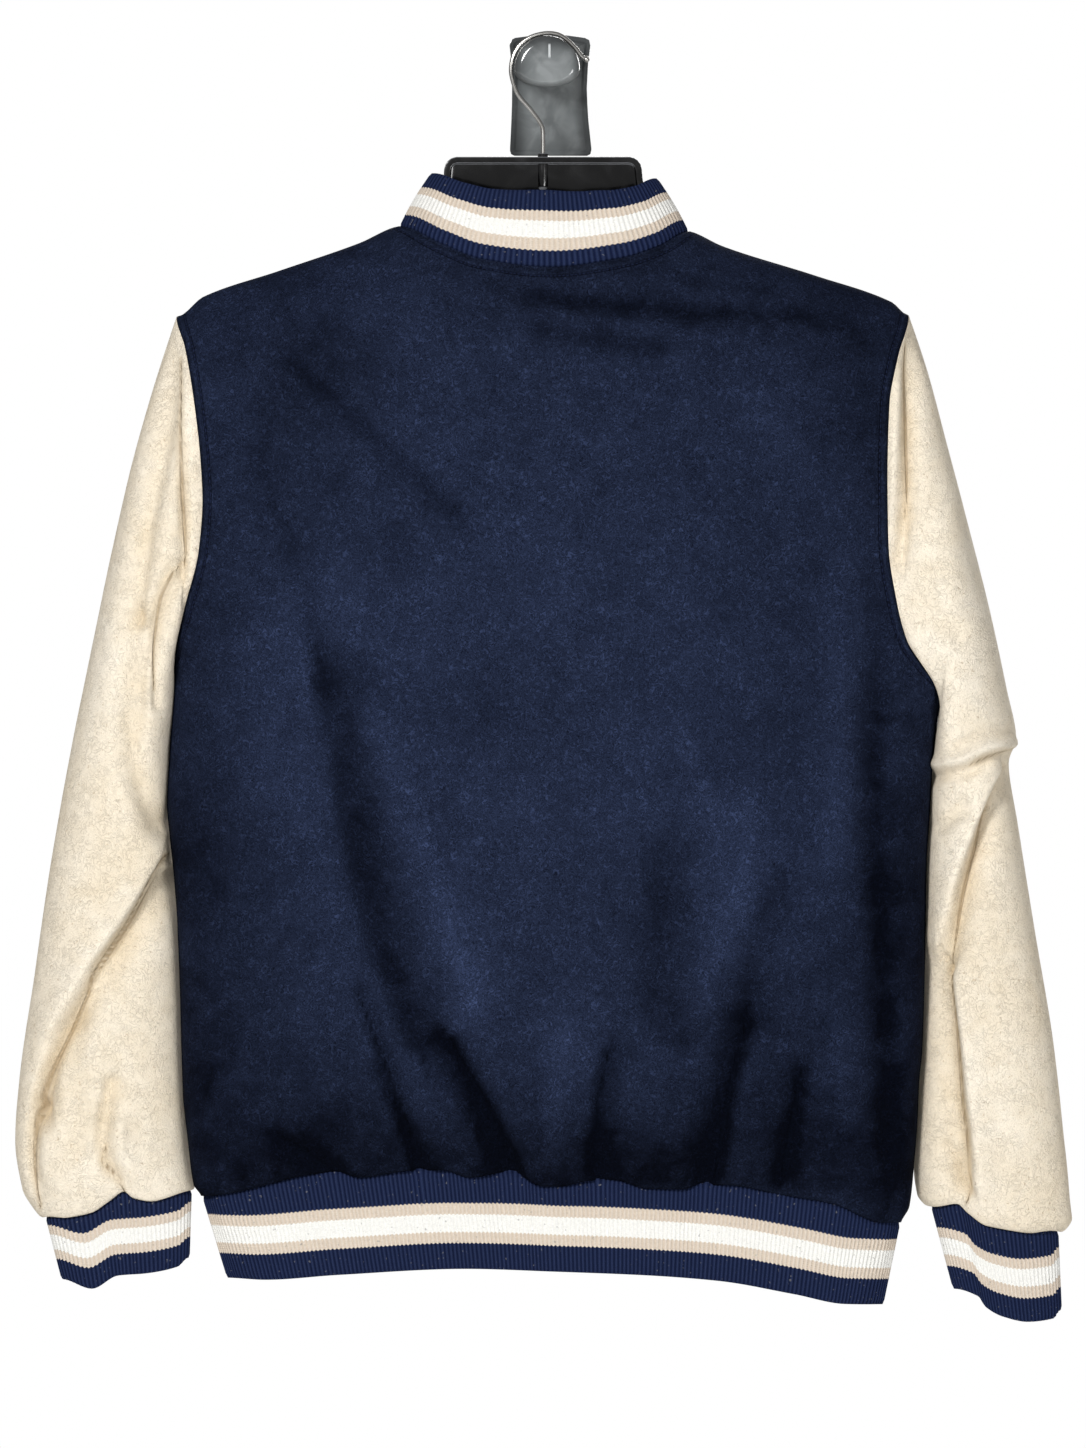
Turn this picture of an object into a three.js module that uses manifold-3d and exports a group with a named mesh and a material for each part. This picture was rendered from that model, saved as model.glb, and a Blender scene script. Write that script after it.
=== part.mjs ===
// Varsity jacket on a moulded hanger that hangs from a wall hook plate.
// Millimetres, +Z up. The origin is on the flat back of the plate, in the middle of the wire hook.
// The wall is the plane y = 0. The jacket's back faces -Y and its front faces the wall.
import * as THREE from 'three';
import Module from 'manifold-3d';
import { mergeVertices } from 'three/addons/utils/BufferGeometryUtils.js';

// Driving sizes
const MIDDLE = -50;            // depth of the hanger and of the side seams
const CLOTH = 1.8;             // body and sleeve cloth
const RIB_CLOTH = 2.6;         // doubled rib knit
const RIB_RISE = 0.7;          // how far a rib stands above the furrows
const RIB_TUCK = 1.0;          // how far the knit's furrows lie under the cloth's face at a seam
const SEAM_GAP = 0.3;
const SHOULDER_ROUND = 110;    // drop over which the cloth rounds over the shoulder
const ARMHOLE_ROUND = 70;      // rise over which the armhole opens above the armpit
const ARMHOLE_BACK = 36;       // depth of the armhole's back and front edges
const ARMHOLE_FRONT = 33;
const BLOUSE_RISE = 34;        // height over which the body draws in to the waistband
const BLOUSE_PULL = 0.2;
const LAP = 11;                // each front passes the centre by this much
const LAP_SINK = 2.2;          // the under front lies this much deeper
const HEM_RIBS = 334;
const COLLAR_RIBS = 144;
const CUFF_RIBS = 72;
const SNAPS = 7;
const WIRE_RADIUS = 1.45;

// Colours of the finishes
const NAVY_SUEDE = { color: 0x1c2442, roughness: 0.9, metalness: 0 };
const CREAM_SUEDE = { color: 0xeee0c6, roughness: 0.9, metalness: 0 };
const KNIT = { color: 0x263258, roughness: 0.85, metalness: 0 };
const BLACK_PLASTIC = { color: 0x121214, roughness: 0.2, metalness: 0 };
const NICKEL = { color: 0xc8c8c6, roughness: 0.25, metalness: 1 };
const SMOKED_PLASTIC = { color: 0x5a5f61, roughness: 0.15, metalness: 0 };

// Body edges seen from behind: side seam below the armpit, armhole above it
const LEFT_EDGE = [
  { z: -800, x: -226 }, { z: -750, x: -232.5 }, { z: -742, x: -237.7 }, { z: -711, x: -241.7 },
  { z: -681, x: -244.8 }, { z: -603, x: -247.2 }, { z: -557, x: -249.2 }, { z: -530, x: -251.3 },
  { z: -505, x: -254 }, { z: -479, x: -256 }, { z: -453, x: -254.7 }, { z: -418, x: -252.6 },
  { z: -383, x: -250.2 }, { z: -350, x: -243.1 }, { z: -312, x: -233.6 }, { z: -277, x: -230.9 },
  { z: -251, x: -232.2 }, { z: -213, x: -236.3 }, { z: -173, x: -243.1 }, { z: -152, x: -249 },
];
const RIGHT_EDGE = [
  { z: -800, x: 238 }, { z: -768, x: 243.5 }, { z: -757, x: 249.2 }, { z: -726, x: 252.6 },
  { z: -699, x: 254.7 }, { z: -671, x: 256 }, { z: -649, x: 258.1 }, { z: -576, x: 260.1 },
  { z: -528, x: 260.8 }, { z: -485, x: 263.5 }, { z: -452, x: 265.5 }, { z: -423, x: 268.9 },
  { z: -408, x: 271.5 }, { z: -392, x: 260.1 }, { z: -373, x: 247.2 }, { z: -345, x: 239.7 },
  { z: -307, x: 234.3 }, { z: -262, x: 233.6 }, { z: -213, x: 234.9 }, { z: -179, x: 241.1 },
  { z: -151, x: 248.5 },
];
const ARMPIT = { left: -383, right: -408 };
const SHOULDER_END = { left: -152, right: -151 };

// Shoulder line from end to end; between the neck points it only shapes the cloth below
const SHOULDER_LINE = [
  { x: -260, z: -152 }, { x: -249, z: -152 }, { x: -231, z: -138.5 }, { x: -180, z: -121 },
  { x: -125, z: -102 }, { x: -98, z: -90.5 }, { x: -50, z: -86 }, { x: 50, z: -86 },
  { x: 100, z: -94 }, { x: 122, z: -104 }, { x: 185, z: -124 }, { x: 237, z: -142 },
  { x: 248.5, z: -151 }, { x: 260, z: -151 },
];
const NECK_POINT = { left: -98, right: 100 };
const BACK_NECK = [
  { x: -98, z: -90.5 }, { x: -70, z: -102.5 }, { x: -42, z: -113.5 }, { x: 5, z: -119 },
  { x: 55, z: -112.5 }, { x: 80, z: -104 }, { x: 100, z: -94 },
];
const FRONT_NECK = [
  { x: -98, z: -90.5 }, { x: -82, z: -124 }, { x: -62, z: -154 }, { x: -36, z: -180 },
  { x: 0, z: -192 }, { x: 36, z: -180 }, { x: 62, z: -154 }, { x: 84, z: -124 }, { x: 100, z: -94 },
];

// Seam to the waistband, seen from behind and from the front
const BACK_HEM = [
  { x: -233, z: -750 }, { x: -139, z: -733 }, { x: -125, z: -737 }, { x: -87, z: -732 },
  { x: -67, z: -732 }, { x: -50, z: -737 }, { x: -23, z: -733 }, { x: 1, z: -743 },
  { x: 11, z: -743 }, { x: 32, z: -739 }, { x: 49, z: -738.5 }, { x: 70, z: -744.5 },
  { x: 95, z: -745 }, { x: 108, z: -741 }, { x: 126, z: -742 }, { x: 164, z: -749 },
  { x: 197, z: -755 }, { x: 231, z: -768 }, { x: 243.5, z: -768 },
];
const FRONT_HEM = [
  { x: -233, z: -750 }, { x: -190, z: -742 }, { x: -140, z: -738 }, { x: -95, z: -742 },
  { x: -45, z: -739 }, { x: 0, z: -741 }, { x: 50, z: -744 }, { x: 100, z: -746 },
  { x: 150, z: -752 }, { x: 200, z: -761 }, { x: 243.5, z: -768 },
];
const BAND_END = [
  { x: -216, z: -804 }, { x: -139, z: -799.5 }, { x: -53, z: -796 }, { x: 11, z: -798.5 },
  { x: 67, z: -800.5 }, { x: 119, z: -804.5 }, { x: 171, z: -813.5 }, { x: 206, z: -820 },
  { x: 232, z: -820 },
];

// How far the cloth stands behind and in front of the side seams, by height
const FULLNESS = [
  { z: -800, back: 42, front: 34 }, { z: -700, back: 55, front: 39 }, { z: -600, back: 58, front: 40 },
  { z: -450, back: 60, front: 41 }, { z: -300, back: 62, front: 42 }, { z: -150, back: 61, front: 41 },
  { z: -80, back: 60, front: 40 },
];

// Largest folds of the panels: troughs along a line in the plane seen from behind
const BACK_FOLDS = [
  { depth: 5, width: 15, line: [[-160, -184], [-106, -237]] },
  { depth: 5, width: 16, line: [[-163, -357], [-142, -482], [-118, -583], [-87, -690], [-80, -728]] },
  { depth: 4, width: 13, line: [[-176, -706], [-139, -730]] },
  { depth: 6, width: 13, line: [[-54, -669], [-30, -700], [-16, -730]] },
  { depth: 5, width: 12, line: [[35, -676], [37, -735]] },
  { depth: 6, width: 13, line: [[134, -650], [119, -692], [112, -737]] },
  { depth: 5, width: 13, line: [[177, -676], [167, -715], [165, -745]] },
  { depth: 6, width: 15, line: [[222, -366], [218, -453], [216, -522], [226, -646], [222, -756]] },
  { depth: 3, width: 14, line: [[90, -128], [166, -140]] },
  { depth: 3, width: 14, line: [[37, -162], [108, -166]] },
];
const FRONT_FOLDS = [
  { depth: 4, width: 17, line: [[-215, -400], [-200, -500], [-196, -640]] },
  { depth: 4, width: 15, line: [[-120, -660], [-112, -735]] },
  { depth: 3, width: 16, line: [[-150, -190], [-105, -250]] },
  { depth: 4, width: 17, line: [[220, -420], [205, -520], [200, -660]] },
  { depth: 4, width: 15, line: [[118, -665], [126, -738]] },
  { depth: 3, width: 16, line: [[152, -190], [108, -245]] },
];

// Sleeves, a row for each section from the armhole down: share of the length, the outer and
// inner edge seen from behind, the depth of the section's middle, and its half depths
const LEFT_SLEEVE = [
  { s: 0, outX: -249, outZ: -152, inX: -250.2, inZ: -383, y: -50, back: 36, front: 33 },
  { s: 0.07, outX: -265, outZ: -201, inX: -252.4, inZ: -392, y: -49.5, back: 41, front: 35 },
  { s: 0.14, outX: -280.5, outZ: -256, inX: -253.4, inZ: -403, y: -49, back: 43, front: 36 },
  { s: 0.22, outX: -293.5, outZ: -313, inX: -254.4, inZ: -420, y: -47, back: 44, front: 36 },
  { s: 0.32, outX: -308, outZ: -382, inX: -256, inZ: -448, y: -43, back: 44, front: 33 },
  { s: 0.45, outX: -322, outZ: -451, inX: -254.8, inZ: -492, y: -36, back: 43, front: 29 },
  { s: 0.6, outX: -336, outZ: -530, inX: -249, inZ: -552, y: -33, back: 41, front: 27 },
  { s: 0.75, outX: -347, outZ: -606, inX: -245.5, inZ: -618, y: -33, back: 39, front: 27 },
  { s: 0.88, outX: -356.5, outZ: -672, inX: -243.5, inZ: -676, y: -34, back: 37, front: 26 },
  { s: 0.94, outX: -359.2, outZ: -712, inX: -241.5, inZ: -710, y: -35, back: 34, front: 25 },
  { s: 0.98, outX: -354, outZ: -746, inX: -240, inZ: -736, y: -36, back: 28, front: 22 },
  { s: 1, outX: -339, outZ: -764.3, inX: -238.6, inZ: -746, y: -37, back: 20, front: 18 },
];
const RIGHT_SLEEVE = [
  { s: 0, outX: 248.5, outZ: -151, inX: 271.5, inZ: -408, y: -50, back: 36, front: 33 },
  { s: 0.07, outX: 261, outZ: -188, inX: 272.4, inZ: -414, y: -49.5, back: 40, front: 35 },
  { s: 0.14, outX: 275, outZ: -240, inX: 271.3, inZ: -421, y: -49, back: 42, front: 36 },
  { s: 0.22, outX: 289, outZ: -293, inX: 269.7, inZ: -432, y: -47, back: 43, front: 36 },
  { s: 0.32, outX: 304, outZ: -352, inX: 267.6, inZ: -449, y: -43, back: 43, front: 33 },
  { s: 0.4, outX: 315.5, outZ: -405, inX: 265.4, inZ: -471, y: -38, back: 42, front: 30 },
  { s: 0.45, outX: 322, outZ: -438, inX: 263.6, inZ: -490, y: -36, back: 42, front: 29 },
  { s: 0.49, outX: 317, outZ: -456, inX: 262, inZ: -506, y: -34, back: 41, front: 28 },
  { s: 0.55, outX: 323, outZ: -496, inX: 259.6, inZ: -534, y: -33, back: 41, front: 27 },
  { s: 0.65, outX: 334, outZ: -565, inX: 258.2, inZ: -585, y: -33, back: 40, front: 27 },
  { s: 0.78, outX: 347.8, outZ: -649, inX: 256.5, inZ: -654, y: -33, back: 39, front: 27 },
  { s: 0.88, outX: 354, outZ: -705, inX: 253.5, inZ: -702, y: -34, back: 36, front: 26 },
  { s: 0.94, outX: 357.5, outZ: -740, inX: 252.5, inZ: -731, y: -35, back: 32, front: 24 },
  { s: 0.98, outX: 359, outZ: -765, inX: 256, inZ: -749, y: -36, back: 26, front: 21 },
  { s: 1, outX: 351.2, outZ: -774, inX: 263.5, inZ: -756.2, y: -37, back: 20, front: 18 },
];
const LEFT_SLEEVE_FOLDS = [
  { depth: 6, width: 13, line: [[-254, -185], [-262, -262], [-272, -335], [-278, -384]] },
  { depth: -4, width: 12, line: [[-247, -196], [-243, -250], [-241, -300], [-243, -330]] },
  { depth: 5, width: 13, line: [[-282, -416], [-278, -446], [-266, -478], [-257, -502]] },
  { depth: 8, width: 12, line: [[-256, -517], [-272, -548], [-300, -592], [-316, -622], [-338, -668],
    [-349, -716]] },
  { depth: 6, width: 10, line: [[-298, -720], [-287, -742]] },
];
const RIGHT_SLEEVE_FOLDS = [
  { depth: 5, width: 13, line: [[244, -190], [248, -235], [246, -280], [240, -320]] },
  { depth: 7, width: 12, line: [[321, -441], [297, -445], [282, -454], [270, -458]] },
  { depth: 8, width: 12, line: [[316, -458], [302, -490], [291, -528], [280, -563], [272, -594]] },
  { depth: 5, width: 11, line: [[272, -600], [280, -648], [287, -700], [288, -744]] },
];
const PLAIN_SLEEVE_FOLDS = [{ depth: 4, width: 16, line: [[-400, -470], [-250, -520]] },
  { depth: 4, width: 16, line: [[250, -500], [400, -450]] }];

// Seams to the cuffs: how far the seam strays from a straight line, and the cuff's free edge
const LEFT_CUFF_WAVE = [
  { x: -339, dz: 0 }, { x: -324, dz: -4 }, { x: -308, dz: -3 }, { x: -295, dz: 3 },
  { x: -285, dz: 8 }, { x: -278, dz: 2 }, { x: -262, dz: -3 }, { x: -238, dz: 0 },
];
const RIGHT_CUFF_WAVE = [
  { x: 263, dz: 0 }, { x: 282, dz: 6 }, { x: 290, dz: 0 }, { x: 302, dz: -6 }, { x: 328, dz: -6 },
  { x: 351, dz: 0 },
];
const LEFT_CUFF_END = [
  { x: -328, z: -807 }, { x: -307, z: -813 }, { x: -289, z: -804 }, { x: -270, z: -802.5 },
  { x: -248, z: -798 }, { x: -240, z: -792 },
];
const RIGHT_CUFF_END = [
  { x: 278.5, z: -813 }, { x: 295.5, z: -818 }, { x: 301, z: -825.5 }, { x: 313, z: -832 },
  { x: 330, z: -835.5 }, { x: 348, z: -833.5 }, { x: 353.5, z: -828 },
];

// Collar: rise of its free edge above the neck seam, by angle from the centre back
const COLLAR_RISE = [
  { angle: 0, rise: 52.5 }, { angle: 45, rise: 48 }, { angle: 90, rise: 36 }, { angle: 135, rise: 42 },
  { angle: 180, rise: 47 },
];
const COLLAR_NARROW = { x: 0.785, y: 0.76 };

const UP = new THREE.Vector3(0, 0, 1);
const vec = (x, y, z) => new THREE.Vector3(x, y, z);
const clamp01 = (t) => Math.min(Math.max(t, 0), 1);
const mix = (a, b, t) => a + (b - a) * t;
const ease = (t) => clamp01(t) ** 2 * (3 - 2 * clamp01(t));
const roundUp = (t) => Math.sqrt(1 - (1 - clamp01(t)) ** 2);

// A smooth curve through one column of a table, without overshoot between its rows
function column(rows, key, value) {
  const slopes = rows.map((row, k) => {
    if (k === 0 || k === rows.length - 1) return 0;
    const before = (row[value] - rows[k - 1][value]) / (row[key] - rows[k - 1][key]);
    const after = (rows[k + 1][value] - row[value]) / (rows[k + 1][key] - row[key]);
    return before * after <= 0 ? 0 : (2 * before * after) / (before + after);
  });
  return (at) => {
    if (at <= rows[0][key]) return rows[0][value];
    if (at >= rows.at(-1)[key]) return rows.at(-1)[value];
    const k = rows.findIndex((row, n) => n > 0 && at <= row[key]) - 1;
    const span = rows[k + 1][key] - rows[k][key];
    const t = (at - rows[k][key]) / span;
    const a = rows[k][value];
    const b = rows[k + 1][value];
    const leave = slopes[k] * span - (b - a);
    const arrive = (b - a) - slopes[k + 1] * span;
    return mix(a, b, t) + t * (1 - t) * mix(leave, arrive, t);
  };
}

const leftEdge = column(LEFT_EDGE, 'z', 'x');
const rightEdge = column(RIGHT_EDGE, 'z', 'x');
const shoulderLine = column(SHOULDER_LINE, 'x', 'z');
const backNeck = column(BACK_NECK, 'x', 'z');
const frontNeck = column(FRONT_NECK, 'x', 'z');
const backHem = column(BACK_HEM, 'x', 'z');
const frontHem = column(FRONT_HEM, 'x', 'z');
const bandEnd = column(BAND_END, 'x', 'z');
const fullness = { back: column(FULLNESS, 'z', 'back'), front: column(FULLNESS, 'z', 'front') };

// Shortest distance in the seen plane from (x, z) to a broken line
function distanceTo(line, x, z) {
  let best = Infinity;
  for (let k = 1; k < line.length; k += 1) {
    const [ax, az] = line[k - 1];
    const [bx, bz] = line[k];
    const length2 = (bx - ax) ** 2 + (bz - az) ** 2;
    const t = clamp01(((x - ax) * (bx - ax) + (z - az) * (bz - az)) / length2);
    best = Math.min(best, Math.hypot(x - mix(ax, bx, t), z - mix(az, bz, t)));
  }
  return best;
}

// How deep the folds press the cloth in at (x, z)
function foldDepth(folds, x, z) {
  return folds.reduce((sum, { depth, width, line }) => {
    const away = distanceTo(line, x, z) / width;
    return sum + depth * Math.exp(-(away ** 2));
  }, 0);
}

// Depth of the body's outer face in front of or behind the side seams
const SIDE_ROUND = 2.4;
const FLAT_ROUND = 1.3;
function bodyDepth(side, x, z) {
  const left = leftEdge(z);
  const right = rightEdge(z);
  const across = clamp01((x - left) / (right - left));
  const openLeft = roundUp((z - ARMPIT.left) / ARMHOLE_ROUND);
  const openRight = roundUp((z - ARMPIT.right) / ARMHOLE_ROUND);
  const open = mix(openLeft, openRight, across);
  const edge = open * (side === 'back' ? ARMHOLE_BACK : ARMHOLE_FRONT);
  const full = fullness[side](z);
  const profile = (1 - Math.abs(2 * across - 1) ** SIDE_ROUND) ** (1 / mix(SIDE_ROUND, FLAT_ROUND, open));
  const shoulder = roundUp((shoulderLine(x) - z) / SHOULDER_ROUND);
  const hem = side === 'back' ? backHem(x) : frontHem(x);
  const pull = 1 - BLOUSE_PULL * (1 - ease((z - hem) / BLOUSE_RISE));
  const folds = foldDepth(side === 'back' ? BACK_FOLDS : FRONT_FOLDS, x, z) * profile;
  return shoulder * (edge + (full - edge) * profile) * pull - folds;
}

// Closed surfaces are gathered as loose triangles
function gridFaces(grid, flip) {
  const faces = [];
  for (let j = 1; j < grid.length; j += 1) {
    for (let i = 1; i < grid[j].length; i += 1) {
      const [a, b, c, d] = [grid[j - 1][i - 1], grid[j - 1][i], grid[j][i], grid[j][i - 1]];
      faces.push(flip ? [a, c, b] : [a, b, c], flip ? [a, d, c] : [a, c, d]);
    }
  }
  return faces;
}

const evenPlaces = (chain) => chain.map((_, k) => k / (chain.length - 1));

// Joins two chains of points that run side by side, each with its points' places from 0 to 1
function zipFaces(first, second, firstPlaces = evenPlaces(first), secondPlaces = evenPlaces(second)) {
  const faces = [];
  let i = 0;
  let k = 0;
  while (i < first.length - 1 || k < second.length - 1) {
    const nextFirst = firstPlaces[i + 1];
    const nextSecond = secondPlaces[k + 1];
    if (k === second.length - 1 || (i < first.length - 1 && nextFirst <= nextSecond)) {
      faces.push([first[i], second[k], first[i + 1]]);
      i += 1;
    } else {
      faces.push([first[i], second[k], second[k + 1]]);
      k += 1;
    }
  }
  return faces;
}

const columnOf = (grid, i) => grid.map((row) => row.at(i));

// A wall between an outer and an inner grid; a tube's rows end where they began
function wallFaces(outer, inner, isTube, places) {
  const faces = [...gridFaces(outer, false), ...gridFaces(inner, true)];
  faces.push(...zipFaces(outer[0], inner[0], places));
  faces.push(...zipFaces(outer.at(-1), inner.at(-1), places).map(([a, b, c]) => [a, c, b]));
  if (!isTube) {
    faces.push(...zipFaces(columnOf(outer, 0), columnOf(inner, 0)).map(([a, b, c]) => [a, c, b]));
    faces.push(...zipFaces(columnOf(outer, -1), columnOf(inner, -1)));
  }
  return faces;
}

function signedVolume(faces) {
  return faces.reduce((sum, [a, b, c]) => sum + a.dot(b.clone().cross(c)) / 6, 0);
}

const jacket = new THREE.Group();

function addFaces(name, faces, finish) {
  const turned = signedVolume(faces) < 0;
  const points = faces.flatMap(([a, b, c]) => (turned ? [a, c, b] : [a, b, c]));
  const geometry = new THREE.BufferGeometry().setFromPoints(points);
  addMesh(name, geometry, finish);
}

function addMesh(name, geometry, finish) {
  const mesh = new THREE.Mesh(geometry, new THREE.MeshStandardMaterial(finish));
  mesh.name = name;
  jacket.add(mesh);
  return mesh;
}

// Directions that point out of a grid's face, from its neighbouring points
function faceNormals(grid, isTube) {
  return grid.map((row, j) => row.map((point, i) => {
    const last = row.length - 1;
    const before = i > 0 ? row[i - 1] : (isTube ? row[last - 1] : row[0]);
    const after = i < last ? row[i + 1] : (isTube ? row[1] : row[last]);
    const along = after.clone().sub(before);
    const up = grid[Math.min(j + 1, grid.length - 1)][i].clone().sub(grid[Math.max(j - 1, 0)][i]);
    return along.cross(up).normalize();
  }));
}

// Directions square to a chain of points and to an axis, pointing away from an inside point
function chainNormals(chain, axis, inside, isLoop) {
  const last = chain.length - 1;
  const normals = chain.map((point, i) => {
    const before = i > 0 ? chain[i - 1] : chain[isLoop ? last - 1 : 0];
    const after = i < last ? chain[i + 1] : chain[isLoop ? 1 : last];
    return after.clone().sub(before).cross(axis).normalize();
  });
  const spread = normals.reduce((sum, normal, i) => sum + normal.dot(chain[i].clone().sub(inside)), 0);
  return spread < 0 ? normals.map((normal) => normal.negate()) : normals;
}

function middleOf(points) {
  return points.reduce((sum, point) => sum.add(point), vec(0, 0, 0)).divideScalar(points.length);
}

const shifted = (point, direction, distance) => point.clone().addScaledVector(direction, distance);


// Body panels

const ARMHOLE_STEPS = 10;
const BACK_ROWS_BELOW = 19;
const FRONT_ROWS_BELOW = 12;
const SHOULDER_STEPS = 8;
const BACK_NECK_STEPS = 11;
const FRONT_SHOULDER_STEPS = 5;
const FRONT_NECK_STEPS = 4;
const ROW_GATHER = 1.2;
const LAP_START = 20;
const LAP_FULL = 12;
const HALF_GAP = SEAM_GAP / 2;
const HEM_END = { left: BACK_HEM[0], right: BACK_HEM.at(-1) };

const steps = (count, from, to) => Array.from({ length: count + 1 }, (_, k) => mix(from, to, k / count));

// Heights of the rows at a side: closer near the hem and at both ends of the armhole
function edgeHeights(side, rowsBelow) {
  const below = steps(rowsBelow, 0, 1).map((t) => mix(HEM_END[side].z, ARMPIT[side], t ** ROW_GATHER));
  const above = steps(ARMHOLE_STEPS, 0, 1).slice(1)
    .map((t) => mix(ARMPIT[side], SHOULDER_END[side], (1 - Math.cos(Math.PI * t)) / 2));
  return [...below, ...above];
}

function sideEdge(side, rowsBelow) {
  const edge = side === 'left' ? leftEdge : rightEdge;
  return edgeHeights(side, rowsBelow).map((z) => ({ x: edge(z), z }));
}

// Points of a four-sided patch in the seen plane, blended from its four edges
function blendPatch({ bottom, top, first, last, rise }) {
  const width = bottom.length - 1;
  const corner = [bottom[0], bottom[width], top[0], top[width]];
  return rise.map((v, j) => bottom.map((low, i) => {
    const u = (low.x - corner[0].x) / (corner[1].x - corner[0].x);
    const blend = (axis) => mix(low[axis], top[i][axis], v) + mix(first[j][axis], last[j][axis], u)
      - mix(mix(corner[0][axis], corner[1][axis], u), mix(corner[2][axis], corner[3][axis], u), v);
    return { x: blend('x'), z: blend('z') };
  }));
}

const hemPoint = (side, x) => ({ x, z: (side === 'back' ? backHem : frontHem)(x) });
const shoulderPoint = (x) => ({ x, z: shoulderLine(x) });

// Sinks the under front where the other one laps over it
const lapSink = (x) => LAP_SINK * ease((LAP_START - x) / (LAP_START - LAP_FULL));

// Lays a flat patch on the body's rounded form
function drape(patch, side, sink) {
  const facing = side === 'back' ? -1 : 1;
  return patch.map((row) => row.map(({ x, z }) => {
    const depth = bodyDepth(side, x, z) - (sink ? sink(x) : 0);
    return vec(x, MIDDLE + facing * depth, z);
  }));
}

function backPatch() {
  const neck = steps(BACK_NECK_STEPS, NECK_POINT.left, NECK_POINT.right);
  const leftShoulder = steps(SHOULDER_STEPS, leftEdge(SHOULDER_END.left), NECK_POINT.left);
  const rightShoulder = steps(SHOULDER_STEPS, NECK_POINT.right, rightEdge(SHOULDER_END.right));
  const top = [...leftShoulder.slice(0, -1).map(shoulderPoint), ...neck.map((x) => ({ x, z: backNeck(x) })),
    ...rightShoulder.slice(1).map(shoulderPoint)];
  const bottom = steps(top.length - 1, 0, 1).map((t) => {
    const gathered = mix(t, (1 - Math.cos(Math.PI * t)) / 2, 0.45);
    return hemPoint('back', mix(HEM_END.left.x, HEM_END.right.x, gathered));
  });
  const first = sideEdge('left', BACK_ROWS_BELOW);
  const last = sideEdge('right', BACK_ROWS_BELOW);
  return blendPatch({ bottom, top, first, last, rise: rises(first) });
}

function rises(edge) {
  return edge.map(({ z }) => (z - edge[0].z) / (edge.at(-1).z - edge[0].z));
}

// One front, from its side seam to its edge past the centre, for the right or the left
function frontPatch(side) {
  const sign = side === 'right' ? 1 : -1;
  const inner = side === 'right' ? [LAP_START, LAP_FULL, 0, -LAP] : [LAP_START, 0, -LAP];
  const edge = side === 'right' ? rightEdge : leftEdge;
  const shoulder = steps(FRONT_SHOULDER_STEPS, edge(SHOULDER_END[side]), NECK_POINT[side]).slice(0, -1);
  const neck = steps(FRONT_NECK_STEPS, NECK_POINT[side], sign * LAP_START).slice(0, -1);
  const lap = inner.map((x) => sign * x);
  const top = [...shoulder.map(shoulderPoint), ...[...neck, ...lap].map((x) => ({ x, z: frontNeck(x) }))];
  const wide = steps(shoulder.length + neck.length, HEM_END[side].x, sign * LAP_START).slice(0, -1);
  const bottom = [...wide, ...lap].map((x) => hemPoint('front', x));
  const first = sideEdge(side, FRONT_ROWS_BELOW);
  const rise = rises(sideEdge('left', FRONT_ROWS_BELOW));
  const last = rise.map((v) => ({ x: sign * -LAP, z: mix(bottom.at(-1).z, top.at(-1).z, v) }));
  const patch = blendPatch({ bottom, top, first, last, rise });
  return side === 'right' ? patch : patch.map((row) => [...row].reverse());
}

const backGrid = drape(backPatch(), 'back');
const frontRightGrid = drape(frontPatch('right'), 'front', lapSink);
const frontLeftGrid = drape(frontPatch('left'), 'front');

// Armhole loops run from the armpit up the back, over the shoulder and down the front
function armholeLoop(side) {
  const atStart = side === 'left' ? 0 : -1;
  const atEnd = side === 'left' ? -1 : 0;
  const front = side === 'left' ? frontLeftGrid : frontRightGrid;
  const rising = columnOf(backGrid.slice(BACK_ROWS_BELOW), atStart);
  const falling = columnOf(front.slice(FRONT_ROWS_BELOW), atEnd).reverse();
  const loop = [...rising, ...falling.slice(1)].map((point) => point.clone());
  [loop[0], loop[ARMHOLE_STEPS], loop.at(-1)].forEach((point) => { point.y = MIDDLE; });
  return loop;
}

// Loop round the neck or the hem, from the centre front round the left side and the back:
// it takes the points of each panel's row from one column to another
function ringLoop(row, leftEnd, backStart, backEnd, rightStart) {
  const lapColumns = 3;
  const left = frontLeftGrid.at(row).slice(1, leftEnd);
  const back = backGrid.at(row).slice(backStart, backEnd + 1);
  const right = frontRightGrid.at(row).slice(rightStart + 1, -lapColumns);
  return [...left, ...back, ...right, left[0]].map((point) => point.clone());
}

const armholes = { left: armholeLoop('left'), right: armholeLoop('right') };
const neckEnd = frontLeftGrid[0].length - 1 - FRONT_SHOULDER_STEPS;
const backNeckEnd = SHOULDER_STEPS + BACK_NECK_STEPS;
const neckLoop = ringLoop(-1, neckEnd, SHOULDER_STEPS, backNeckEnd, FRONT_SHOULDER_STEPS);
const hemLoop = ringLoop(0, frontLeftGrid[0].length - 1, 0, backGrid[0].length - 1, 0);
const ALONG_X = vec(1, 0, 0);
const NECK_LIFT = 0.7;

const neckMiddle = vec(1, MIDDLE, -110);
const neckOut = chainNormals(neckLoop, UP, neckMiddle, true).map((normal, i) => {
  if (Math.abs(neckLoop[i].y - MIDDLE) < HALF_GAP) normal.setY(0).normalize();
  return normal.addScaledVector(UP, NECK_LIFT * normal.x ** 2).normalize();
});
const neckAlong = neckLoop.map((point, i) => {
  const count = neckLoop.length - 1;
  return neckLoop[(i + 1) % count].clone().sub(neckLoop[(i - 1 + count) % count]).normalize();
});
const neckUp = neckOut.map((normal, i) => {
  const up = normal.clone().cross(neckAlong[i]).normalize();
  return up.z < 0 ? up.negate() : up;
});
const hemOut = chainNormals(hemLoop, UP, middleOf(hemLoop), true);
const armholeOut = {
  left: chainNormals(armholes.left, ALONG_X, middleOf(armholes.left), true),
  right: chainNormals(armholes.right, ALONG_X, middleOf(armholes.right), true),
};

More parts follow.
